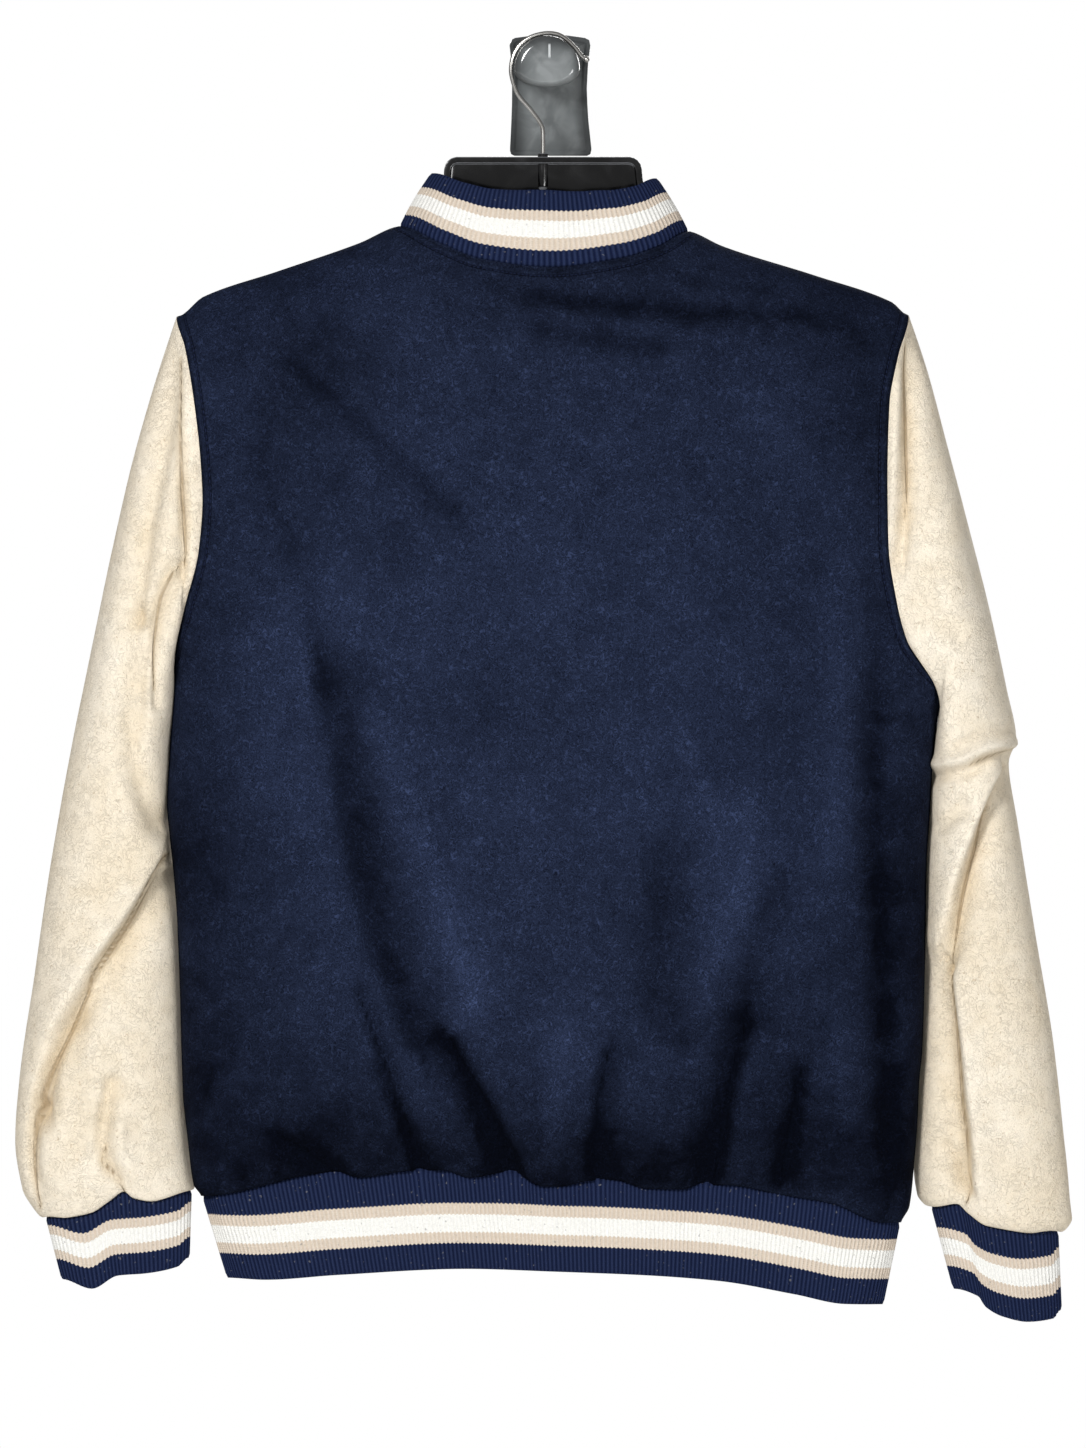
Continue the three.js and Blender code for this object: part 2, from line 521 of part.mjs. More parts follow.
// Finds a loop's point nearest to a panel's edge point, to share the loop's directions
function nearestIndex(loop, point) {
  const gaps = loop.map((other) => other.distanceTo(point));
  return gaps.indexOf(Math.min(...gaps));
}

// Makes a body panel's wall: its edges draw back from their seams and are mitred with them
function panelWall(grid, side, edges) {
  const facing = side === 'back' ? -1 : 1;
  const inward = faceNormals(grid, false);
  const outer = grid.map((row) => row.map((point) => point.clone()));
  const top = grid.length - 1;
  const rowsBelow = side === 'back' ? BACK_ROWS_BELOW : FRONT_ROWS_BELOW;
  const seamY = MIDDLE + facing * HALF_GAP;
  grid[0].forEach((point, i) => {
    const k = nearestIndex(hemLoop, point);
    outer[0][i].z += HALF_GAP;
    inward[0][i] = hemOut[k].clone();
  });
  grid[top].forEach((point, i) => {
    const overNeck = point.x >= NECK_POINT.left - HALF_GAP && point.x <= NECK_POINT.right + HALF_GAP;
    if (overNeck) {
      const k = nearestIndex(neckLoop, point);
      outer[top][i].addScaledVector(neckUp[k], -HALF_GAP);
      inward[top][i] = neckOut[k].clone();
    } else {
      inward[top][i].setY(0).normalize();
    }
    if (!overNeck || Math.abs(point.y - MIDDLE) < HALF_GAP) outer[top][i].y = seamY;
  });
  edges.forEach(({ at, arm }) => {
    const column = at === 'first' ? 0 : grid[0].length - 1;
    grid.forEach((row, j) => {
      const point = outer[j][column];
      if (j < rowsBelow) {
        inward[j][column].setY(0).normalize();
        point.y = seamY;
      } else {
        const k = nearestIndex(armholes[arm], row[column]);
        inward[j][column] = armholeOut[arm][k].clone();
        point.x += arm === 'left' ? HALF_GAP : -HALF_GAP;
        if (j === rowsBelow || j === top) point.y = seamY;
      }
    });
  });
  const inner = outer.map((row, j) => row.map((point, i) => shifted(point, inward[j][i], -CLOTH)));
  return wallFaces(outer, inner, false);
}

addFaces('back', panelWall(backGrid, 'back', [{ at: 'first', arm: 'left' }, { at: 'last', arm: 'right' }]),
  NAVY_SUEDE);
addFaces('front_left', panelWall(frontLeftGrid, 'front', [{ at: 'last', arm: 'left' }]), NAVY_SUEDE);
addFaces('front_right', panelWall(frontRightGrid, 'front', [{ at: 'first', arm: 'right' }]), NAVY_SUEDE);

// Sleeves

const SLEEVE_ROUND = 2.2;
const ARMHOLE_BLEND = 0.2;
const SLEEVE_RINGS = [0, 0.03, 0.07, 0.115, 0.16, 0.21, 0.26, 0.315, 0.37, 0.42, 0.47, 0.52, 0.57, 0.62,
  0.67, 0.72, 0.77, 0.82, 0.87, 0.92, 0.96, 0.985, 1];

function sleeveSection(rows) {
  const curves = Object.fromEntries(Object.keys(rows[0]).filter((key) => key !== 's')
    .map((key) => [key, column(rows, 's', key)]));
  return (s, i) => {
    const angle = (Math.PI * i) / ARMHOLE_STEPS;
    const across = -Math.sign(Math.cos(angle)) * Math.abs(Math.cos(angle)) ** (2 / SLEEVE_ROUND);
    const depth = Math.abs(Math.sin(angle)) ** (2 / SLEEVE_ROUND);
    const reach = i < ARMHOLE_STEPS ? -curves.back(s) : curves.front(s);
    const t = (across + 1) / 2;
    const x = mix(curves.inX(s), curves.outX(s), t);
    const z = mix(curves.inZ(s), curves.outZ(s), t);
    return vec(x, curves.y(s) + reach * depth, z);
  };
}

function sleeveGrid(side, rows, folds, cuffWave) {
  const section = sleeveSection(rows);
  const loop = armholes[side];
  const outward = side === 'left' ? -1 : 1;
  const wave = column(cuffWave, 'x', 'dz');
  const start = loop.map((point) => shifted(point, ALONG_X, outward * HALF_GAP));
  const smooth = SLEEVE_RINGS.map((s) => start.map((point, i) => {
    const fade = 1 - ease(s / ARMHOLE_BLEND);
    const plain = section(s, i).addScaledVector(point.clone().sub(section(0, i)), fade);
    const onBack = i < ARMHOLE_STEPS ? Math.sin((Math.PI * i) / ARMHOLE_STEPS) : 0;
    plain.z += wave(plain.x) * onBack * ease((s - 0.9) / 0.1);
    return plain;
  }));
  const normals = tubeNormals(smooth);
  return smooth.map((ring, j) => ring.map((point, i) => {
    const s = SLEEVE_RINGS[j];
    const onBack = i < ARMHOLE_STEPS;
    const facing = Math.abs(Math.sin((Math.PI * i) / ARMHOLE_STEPS)) ** 0.5;
    const clear = ease(s / 0.06) * ease((1 - s) / 0.04) * facing;
    const depth = foldDepth(onBack ? folds : PLAIN_SLEEVE_FOLDS, point.x, point.z) * clear;
    return shifted(point, normals[j][i], -depth);
  }));
}

function tubeNormals(grid) {
  const normals = faceNormals(grid, true);
  const spread = grid.reduce((sum, ring, j) => {
    const centre = middleOf(ring.slice(1));
    return sum + ring.reduce((part, point, i) => part + normals[j][i].dot(point.clone().sub(centre)), 0);
  }, 0);
  if (spread < 0) normals.forEach((ring) => ring.forEach((normal) => normal.negate()));
  return normals;
}

// Downward direction of the cuff, square to the seam seen from behind
function cuffAxis(rows) {
  const end = rows.at(-1);
  const axis = vec(-(end.outZ - end.inZ), 0, end.outX - end.inX).normalize();
  return axis.z > 0 ? axis.negate() : axis;
}

function sleeveWall(side, grid, axis) {
  const inward = tubeNormals(grid);
  inward[0] = armholeOut[side];
  inward[grid.length - 1] = chainNormals(grid.at(-1), axis, middleOf(grid.at(-1)), true);
  const inner = grid.map((ring, j) => ring.map((point, i) => shifted(point, inward[j][i], -CLOTH)));
  return wallFaces(grid, inner, true);
}

// Rib-knit bands

// Points at even spacing along a chain, with the chain's directions
function sampleChain(chain, normals, count) {
  const lengths = [0];
  for (let k = 1; k < chain.length; k += 1) {
    lengths.push(lengths[k - 1] + chain[k].distanceTo(chain[k - 1]));
  }
  return steps(count, 0, lengths.at(-1)).map((at) => {
    let k = lengths.findIndex((length, n) => n > 0 && at <= length + 1e-6);
    k = k < 0 ? lengths.length - 1 : k;
    const t = clamp01((at - lengths[k - 1]) / (lengths[k] - lengths[k - 1]));
    return {
      place: k - 1 + t,
      point: chain[k - 1].clone().lerp(chain[k], t),
      normal: normals[k - 1].clone().lerp(normals[k], t).normalize(),
    };
  });
}

const placeOn = (chain, place) => {
  const k = Math.min(Math.floor(place), chain.length - 2);
  return chain[k].clone().lerp(chain[k + 1], place - k);
};

// A knit band from its seam to its free edge: ribs are raised outside, the inside is plain
function ribBand({ base, end, normals, endNormals, ribs, rows, bulge, isTube }) {
  const samples = sampleChain(base, normals, 2 * ribs);
  const outer = steps(rows - 1, 0, 1).map((share) => samples.map((sample, n) => {
    const foot = sample.point.clone().lerp(placeOn(end, sample.place), share);
    const out = sample.normal.clone().lerp(placeOn(endNormals, sample.place), share).normalize();
    const crest = n % 2 === 1 ? RIB_RISE : 0;
    return shifted(foot, out, crest - RIB_TUCK + bulge * Math.sin(Math.PI * share));
  }));
  const inner = [base, end].map((chain, r) => chain.map((point, k) => {
    const out = r === 0 ? normals[k] : endNormals[k];
    return shifted(point, out, -RIB_CLOTH);
  }));
  if (isTube) [...outer, ...inner].forEach((ring) => { ring[ring.length - 1] = ring[0]; });
  const places = samples.map((sample) => sample.place / (base.length - 1));
  return wallFaces(outer, inner, isTube, places);
}

const CUFF_NARROW = 0.95;

// The end of a cuff: its seam loop drawn in to the free edge's outline
function cuffEnd(base, outline) {
  const centre = middleOf(base.slice(1));
  const low = Math.min(...base.map((point) => point.x));
  const high = Math.max(...base.map((point) => point.x));
  const edge = column(outline, 'x', 'z');
  return base.map((point) => {
    const x = mix(outline[0].x, outline.at(-1).x, (point.x - low) / (high - low));
    return vec(x, centre.y + (point.y - centre.y) * CUFF_NARROW, edge(x));
  });
}

function addSleeveAndCuff(side, rows, folds, wave, outline) {
  const grid = sleeveGrid(side, rows, folds, wave);
  const axis = cuffAxis(rows);
  addFaces(`sleeve_${side}`, sleeveWall(side, grid, axis), CREAM_SUEDE);
  const base = grid.at(-1).map((point) => shifted(point, axis, SEAM_GAP));
  const end = cuffEnd(base, outline);
  const normals = chainNormals(base, axis, middleOf(base), true);
  const endNormals = chainNormals(end, axis, middleOf(end), true);
  const band = { base, end, normals, endNormals, ribs: CUFF_RIBS, rows: 2, bulge: 0, isTube: true };
  addFaces(`cuff_${side}`, ribBand(band), KNIT);
}

addSleeveAndCuff('left', LEFT_SLEEVE, LEFT_SLEEVE_FOLDS, LEFT_CUFF_WAVE, LEFT_CUFF_END);
addSleeveAndCuff('right', RIGHT_SLEEVE, RIGHT_SLEEVE_FOLDS, RIGHT_CUFF_WAVE, RIGHT_CUFF_END);

// Opens a loop's two ends at the centre front
const END_GAP = 0.5;
function openEnds(loop) {
  loop[0].x -= END_GAP;
  loop[loop.length - 1].x += END_GAP;
  return loop;
}

const BAND_DEPTH = 0.9;
function addHemBand() {
  const base = openEnds(hemLoop.map((point) => shifted(point, UP, -HALF_GAP)));
  const end = openEnds(hemLoop.map((point) => {
    const t = (point.x - HEM_END.left.x) / (HEM_END.right.x - HEM_END.left.x);
    const x = mix(BAND_END[0].x, BAND_END.at(-1).x, t);
    return vec(x, MIDDLE + (point.y - MIDDLE) * BAND_DEPTH, bandEnd(x));
  }));
  const endNormals = chainNormals(end, UP, middleOf(end), false);
  const band = { base, end, normals: hemOut, endNormals, ribs: HEM_RIBS, rows: 2, bulge: 0 };
  addFaces('hem_rib', ribBand(band), KNIT);
}

function addCollar() {
  const rise = column(COLLAR_RISE, 'angle', 'rise');
  const base = openEnds(neckLoop.map((point, i) => shifted(point, neckUp[i], HALF_GAP)));
  const end = openEnds(neckLoop.map((point) => {
    const turn = Math.atan2(Math.abs(point.x - neckMiddle.x), -(point.y - MIDDLE));
    const angle = THREE.MathUtils.radToDeg(turn);
    const x = neckMiddle.x + (point.x - neckMiddle.x) * COLLAR_NARROW.x;
    return vec(x, MIDDLE + (point.y - MIDDLE) * COLLAR_NARROW.y, point.z + rise(angle));
  }));
  const endNormals = chainNormals(end, UP, middleOf(end), false);
  const band = { base, end, normals: neckOut, endNormals, ribs: COLLAR_RIBS, rows: 3, bulge: 1 };
  addFaces('collar_rib', ribBand(band), KNIT);
}

addHemBand();
addCollar();

// Snap caps on the lapping front

const SNAP_RADIUS = 7.5;
const SNAP_TOP = -208;
const SNAP_BOTTOM = -696;
const SNAP_SIDES = 12;
const SNAP_PROFILE = [[0, 0], [1, 0], [0.97, 1.3], [0.6, 2.6], [0, 3]];

function addSnaps() {
  steps(SNAPS - 1, SNAP_TOP, SNAP_BOTTOM).forEach((z, k) => {
    const profile = SNAP_PROFILE.map(([share, height]) => new THREE.Vector2(share * SNAP_RADIUS, height));
    const cap = addMesh(`snap_${k + 1}`, new THREE.LatheGeometry(profile, SNAP_SIDES), NICKEL);
    cap.position.set(0, MIDDLE + bodyDepth('front', 0, z) + SEAM_GAP, z);
  });
}

addSnaps();

// Hanger, wire hook and wall plate

const wasm = await Module();
wasm.setup();

function solidOf(geometry) {
  geometry.deleteAttribute('normal');
  geometry.deleteAttribute('uv');
  const merged = mergeVertices(geometry);
  const mesh = new wasm.Mesh({
    numProp: 3,
    vertProperties: new Float32Array(merged.attributes.position.array),
    triVerts: new Uint32Array(merged.index.array),
  });
  return new wasm.Manifold(mesh);
}

function geometryOf(solid) {
  const { vertProperties, triVerts } = solid.getMesh();
  const geometry = new THREE.BufferGeometry();
  geometry.setAttribute('position', new THREE.BufferAttribute(vertProperties, 3));
  geometry.setIndex(new THREE.BufferAttribute(triVerts, 1));
  return geometry;
}

// A flat outline in the seen plane, given its thickness from one depth to another
function slab(points, fromY, toY, bevel = 0) {
  const shape = new THREE.Shape(points.map(([x, z]) => new THREE.Vector2(x, z)));
  const settings = {
    depth: toY - fromY - 2 * bevel,
    bevelEnabled: bevel > 0,
    bevelThickness: bevel,
    bevelSize: bevel,
    bevelOffset: -bevel,
    bevelSegments: 2,
  };
  return new THREE.ExtrudeGeometry(shape, settings).translate(0, 0, -toY + bevel).rotateX(Math.PI / 2);
}

const HANGER_TOP = -43.5;
const HANGER_HALF_THICK = 6;
const WEB_HALF_THICK = 2.5;
const RIM = 4.2;
const ARM_END = 206;
const ARM_START = 112;
const ARM_DROP = 6;            // the arms lie this far under the shoulder line
const TIP_ROUND = 9;
const BOSS_RADIUS = 4.2;
const BOSS_LENGTH = 15;
const COLLAR_RADIUS = 3.6;
const COLLAR_HEIGHT = 2.2;
const NECK_SIDE = [
  [59, HANGER_TOP], [64, -45.5], [67, -50.5], [67.5, -58], [70, -72], [78, -89], [90, -104],
];
const LOWER_SIDE = [[196, -158], [160, -147], [125, -137], [92, -127], [60, -117], [0, -111]];

// One half of the hanger's outline, from the top of its neck to the middle of its lower edge
function hangerHalf(sign) {
  const arm = steps(6, ARM_START, ARM_END).map((x) => [x, shoulderLine(sign * x) - ARM_DROP]);
  const [endX, endZ] = arm.at(-1);
  const tip = [
    [endX + TIP_ROUND * 0.7, endZ - TIP_ROUND * 0.8], [endX + TIP_ROUND * 0.3, endZ - TIP_ROUND * 1.9],
  ];
  return [...NECK_SIDE, ...arm, ...tip, ...LOWER_SIDE].map(([x, z]) => [sign * x, z]);
}

// Moves each point of a closed outline inward
function drawIn(points, distance) {
  const count = points.length;
  return points.map(([x, z], i) => {
    const [ax, az] = points[(i - 1 + count) % count];
    const [bx, bz] = points[(i + 1) % count];
    const length = Math.hypot(bx - ax, bz - az);
    return [x + (distance * (bz - az)) / length, z - (distance * (bx - ax)) / length];
  });
}

function hangerBody() {
  const right = hangerHalf(1);
  const left = hangerHalf(-1).reverse().slice(1);
  const outline = [...right, ...left];
  const full = solidOf(slab(outline, MIDDLE - HANGER_HALF_THICK, MIDDLE + HANGER_HALF_THICK));
  const recess = drawIn(outline, RIM);
  const back = solidOf(slab(recess, MIDDLE - 2 * HANGER_HALF_THICK, MIDDLE - WEB_HALF_THICK));
  const front = solidOf(slab(recess, MIDDLE + WEB_HALF_THICK, MIDDLE + 2 * HANGER_HALF_THICK));
  const boss = new THREE.CapsuleGeometry(BOSS_RADIUS, BOSS_LENGTH, 3, 12).rotateX(Math.PI / 2)
    .translate(0, MIDDLE, HANGER_TOP - BOSS_LENGTH / 2 - BOSS_RADIUS);
  const collar = new THREE.CylinderGeometry(COLLAR_RADIUS, COLLAR_RADIUS, 2 * COLLAR_HEIGHT, 12)
    .rotateX(Math.PI / 2).translate(0, MIDDLE, HANGER_TOP);
  return full.subtract(back).subtract(front).add(solidOf(boss)).add(solidOf(collar));
}

addMesh('hanger_body', geometryOf(hangerBody()), BLACK_PLASTIC);

const WIRE_FOOT = HANGER_TOP + COLLAR_HEIGHT + SEAM_GAP;
const WIRE_ROUTE = [
  [0, WIRE_FOOT], [0, -31], [-1, -22], [-8.5, -11], [-17, -1], [-20.8, 9], [-21.8, 17], [-20, 26],
  [-15.3, 33.3], [-8.8, 37.9], [-1.3, 40.3], [5.1, 40.8], [11.2, 39.6], [17, 35.8], [22.1, 30.6],
  [26, 25.6], [29.6, 23.1],
];
const WIRE_SIDES = 8;
const WIRE_STEPS = 40;
const wirePoints = WIRE_ROUTE.map(([x, z]) => vec(x, MIDDLE, z));
const wireCurve = new THREE.CatmullRomCurve3(wirePoints, false, 'centripetal');

function wireGeometry() {
  const corners = steps(WIRE_SIDES - 1, 0, WIRE_SIDES - 1).map((k) => {
    const angle = (2 * Math.PI * k) / WIRE_SIDES;
    return new THREE.Vector2(WIRE_RADIUS * Math.cos(angle), WIRE_RADIUS * Math.sin(angle));
  });
  const settings = { steps: WIRE_STEPS, extrudePath: wireCurve, bevelEnabled: false };
  return new THREE.ExtrudeGeometry(new THREE.Shape(corners), settings);
}

addMesh('hanger_hook', wireGeometry(), NICKEL);

const PLATE_THICK = 7;
const PLATE_BEVEL = 1.5;
const SADDLE_END = MIDDLE - 7;
const SADDLE_BEVEL = 1.5;
const SADDLE_FOOT = 6;
const SADDLE_CROWN = 5;
const SADDLE_CLEAR = WIRE_RADIUS + SEAM_GAP + 0.1;
const SADDLE_TAPER = 0.004;
const ARCH_START = 0.5;
const ARCH_END = 0.94;
const ARCH_STEPS = 14;
const PLATE_OUTLINE = [
  [-18.5, -41.5], [29, -41.5], [32, -40], [33, -36.5], [31, -18], [29.9, 4], [30.8, 22],
  [32.3, 33.5], [31.5, 37.3], [28.5, 38.8], [17, 40.4], [5, 41.1], [-7, 40.4], [-19, 38.8],
  [-22, 37.3], [-22.8, 33.5], [-21.6, 22], [-21.1, 4], [-21.6, -18], [-22.5, -36.5], [-21.5, -40],
];

// The saddle's outline follows the wire's arch on its inside, nearest at the top
function saddleOutline() {
  const arch = steps(ARCH_STEPS, ARCH_START, ARCH_END).map((t) => {
    const point = wireCurve.getPointAt(t);
    const along = wireCurve.getTangentAt(t);
    const clear = SADDLE_CLEAR + SADDLE_TAPER * (point.x - SADDLE_CROWN) ** 2;
    return [point.x + along.z * clear, point.z - along.x * clear];
  });
  const left = arch[0][0];
  const right = arch.at(-1)[0];
  const foot = [
    [right - 3, SADDLE_FOOT + 3], [right - 8, SADDLE_FOOT],
    [left + 8, SADDLE_FOOT], [left + 3, SADDLE_FOOT + 3],
  ];
  return [...arch, ...foot];
}

function wallPlate() {
  const plate = solidOf(slab(PLATE_OUTLINE, -PLATE_THICK, 0, PLATE_BEVEL));
  const saddle = solidOf(slab(saddleOutline(), SADDLE_END, -PLATE_THICK / 2, SADDLE_BEVEL));
  return plate.add(saddle);
}

addMesh('wall_plate', geometryOf(wallPlate()), SMOKED_PLASTIC);

export default jacket;
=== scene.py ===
"""Varsity jacket on a moulded hanger that hangs from a wall hook plate, seen from behind.

Shapes are worked out in millimetres in the frame's axes, as in the part's own source, and
become metres when a mesh is made. The wall is the plane y = 0 and the jacket's back faces -Y.
"""
from collections import namedtuple
from math import atan2, cos, pi, radians, sin

import bmesh
import bpy
import numpy as np
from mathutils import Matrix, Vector


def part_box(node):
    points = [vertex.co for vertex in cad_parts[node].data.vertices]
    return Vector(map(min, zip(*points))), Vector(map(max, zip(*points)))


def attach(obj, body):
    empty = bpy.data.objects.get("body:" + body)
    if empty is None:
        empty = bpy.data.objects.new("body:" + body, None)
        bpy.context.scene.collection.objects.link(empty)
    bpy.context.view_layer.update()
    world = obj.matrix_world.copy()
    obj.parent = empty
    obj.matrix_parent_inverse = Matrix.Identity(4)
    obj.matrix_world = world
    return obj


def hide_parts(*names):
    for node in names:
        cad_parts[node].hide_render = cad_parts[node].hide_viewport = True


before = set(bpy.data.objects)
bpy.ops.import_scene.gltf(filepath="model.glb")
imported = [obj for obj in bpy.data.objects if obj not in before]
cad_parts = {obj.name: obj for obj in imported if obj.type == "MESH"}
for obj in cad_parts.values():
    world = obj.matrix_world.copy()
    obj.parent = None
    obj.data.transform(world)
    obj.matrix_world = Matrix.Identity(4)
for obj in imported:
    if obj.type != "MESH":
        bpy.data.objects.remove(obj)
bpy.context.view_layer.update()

MM = 0.001

# Driving sizes, the solids' own or within a few millimetres of them
MIDDLE = -50
CLOTH = 1.6
RIB_CLOTH = 2.4
RIB_RISE = 0.7
RIB_TUCK = 1.0
HALF_GAP = 0.15
SHOULDER_ROUND = 110
ARMHOLE_ROUND = 70
ARMHOLE_EDGE = {"back": 36, "front": 33}
BLOUSE_RISE = 34
BLOUSE_PULL = 0.2
LAP = 11
LAP_SINK = 2.2
LAP_START = 20
LAP_FULL = 12
SIDE_ROUND = 2.4
FLAT_ROUND = 1.3
SLEEVE_ROUND = 2.2
ARMHOLE_BLEND = 0.2
HEM_RIBS = 334
COLLAR_RIBS = 144
CUFF_RIBS = 72

# Body edges seen from behind, as height and x
LEFT_EDGE = [
    (-800, -226), (-750, -232.5), (-742, -237.7), (-711, -241.7), (-681, -244.8), (-603, -247.2),
    (-557, -249.2), (-530, -251.3), (-505, -254), (-479, -256), (-453, -254.7), (-418, -252.6),
    (-383, -250.2), (-350, -243.1), (-312, -233.6), (-277, -230.9), (-251, -232.2), (-213, -236.3),
    (-173, -243.1), (-152, -249),
]
RIGHT_EDGE = [
    (-800, 238), (-768, 243.5), (-757, 249.2), (-726, 252.6), (-699, 254.7), (-671, 256),
    (-649, 258.1), (-576, 260.1), (-528, 260.8), (-485, 263.5), (-452, 265.5), (-423, 268.9),
    (-408, 271.5), (-392, 260.1), (-373, 247.2), (-345, 239.7), (-307, 234.3), (-262, 233.6),
    (-213, 234.9), (-179, 241.1), (-151, 248.5),
]
ARMPIT = {"left": -383, "right": -408}
SHOULDER_END = {"left": -152, "right": -151}
NECK_POINT = {"left": -98, "right": 100}
HEM_END = {"left": (-233, -750), "right": (243.5, -768)}

# Lines across the body, as x and height
SHOULDER_LINE = [
    (-260, -152), (-249, -152), (-231, -138.5), (-180, -121), (-125, -102), (-98, -90.5),
    (-50, -86), (50, -86), (100, -94), (122, -104), (185, -124), (237, -142), (248.5, -151),
    (260, -151),
]
BACK_NECK = [
    (-98, -90.5), (-70, -102.5), (-42, -113.5), (5, -119), (55, -112.5), (80, -104), (100, -94),
]
FRONT_NECK = [
    (-98, -90.5), (-82, -124), (-62, -154), (-36, -180), (0, -192), (36, -180), (62, -154),
    (84, -124), (100, -94),
]
BACK_HEM = [
    (-233, -750), (-139, -733), (-125, -737), (-87, -732), (-67, -732), (-50, -737), (-23, -733),
    (1, -743), (11, -743), (32, -739), (49, -738.5), (70, -744.5), (95, -745), (108, -741),
    (126, -742), (164, -749), (197, -755), (231, -768), (243.5, -768),
]
FRONT_HEM = [
    (-233, -750), (-190, -742), (-140, -738), (-95, -742), (-45, -739), (0, -741), (50, -744),
    (100, -746), (150, -752), (200, -761), (243.5, -768),
]
BAND_END = [
    (-216, -805.5), (-190, -806.5), (-139, -803), (-53, -798.8), (11, -800.8), (67, -803),
    (119, -807), (171, -816.2), (206, -823), (232, -823.5),
]

# How far the cloth stands behind and in front of the side seams: height, back, front
FULLNESS = [
    (-800, 42, 34), (-700, 55, 39), (-600, 58, 40), (-450, 60, 41), (-300, 62, 42), (-150, 61, 41),
    (-80, 60, 40),
]

# Sleeve sections from the armhole down: share, outer x and z, inner x and z, depth, half depths
LEFT_SLEEVE = [
    (0, -249, -152, -249.4, -383, -50, 36, 33), (0.07, -265, -201, -250.2, -392, -49.5, 41, 35),
    (0.14, -280.5, -256, -250.2, -403, -48, 43, 36),
    (0.22, -293.5, -313, -250.8, -420, -45, 44, 36),
    (0.32, -308, -382, -253, -448, -41, 44, 33), (0.45, -322, -451, -254, -492, -36, 43, 29),
    (0.6, -336, -530, -249, -552, -33, 41, 27), (0.75, -347, -606, -245.5, -618, -33, 39, 27),
    (0.88, -356.5, -672, -243.5, -676, -34, 37, 26),
    (0.94, -359.2, -712, -241.5, -710, -35, 34, 25),
    (0.98, -354, -746, -240, -736, -36, 28, 22), (1, -339, -764.3, -238.6, -746, -37, 20, 18),
]
RIGHT_SLEEVE = [
    (0, 248.5, -151, 271.5, -408, -50, 36, 33), (0.07, 261, -188, 272.4, -414, -49.5, 40, 35),
    (0.14, 275, -240, 270.3, -421, -49, 42, 36), (0.22, 289, -293, 267.7, -432, -47, 43, 36),
    (0.32, 304, -352, 265.2, -449, -43, 43, 33), (0.4, 315.5, -405, 263.2, -471, -38, 42, 30),
    (0.45, 322, -438, 262, -490, -36, 42, 29), (0.49, 317, -456, 261, -506, -34, 41, 28),
    (0.55, 323, -496, 259.6, -534, -33, 41, 27), (0.65, 334, -565, 258.2, -585, -33, 40, 27),
    (0.78, 347.8, -649, 256.5, -654, -33, 39, 27), (0.88, 354, -705, 253.5, -702, -34, 36, 26),
    (0.94, 357.5, -740, 252.5, -731, -35, 32, 24), (0.98, 359, -765, 256, -749, -36, 26, 21),
    (1, 351.2, -774, 263.5, -756.2, -37, 20, 18),
]

# Seams to the cuffs, as x and how far the seam strays, and the cuffs' free edges
LEFT_CUFF_WAVE = [
    (-339, 0), (-324, -4), (-308, -3), (-295, 3), (-285, 8), (-278, 2), (-262, -3), (-238, 0),
]
RIGHT_CUFF_WAVE = [(263, 0), (282, 6), (290, 0), (302, -6), (328, -6), (351, 0)]
LEFT_CUFF_END = [
    (-328, -807), (-307, -813), (-289, -804), (-270, -802.5), (-248, -798), (-240, -792),
]
RIGHT_CUFF_END = [
    (278.5, -813), (295.5, -818), (301, -825.5), (313, -832), (330, -835.5), (348, -833.5),
    (353.5, -828),
]

# Collar: rise of its free edge above the seam by angle from the centre back, and its taper
COLLAR_RISE = [(0, 52.5), (45, 48), (90, 36), (135, 42), (180, 47)]
COLLAR_NARROW = (0.785, 0.76)

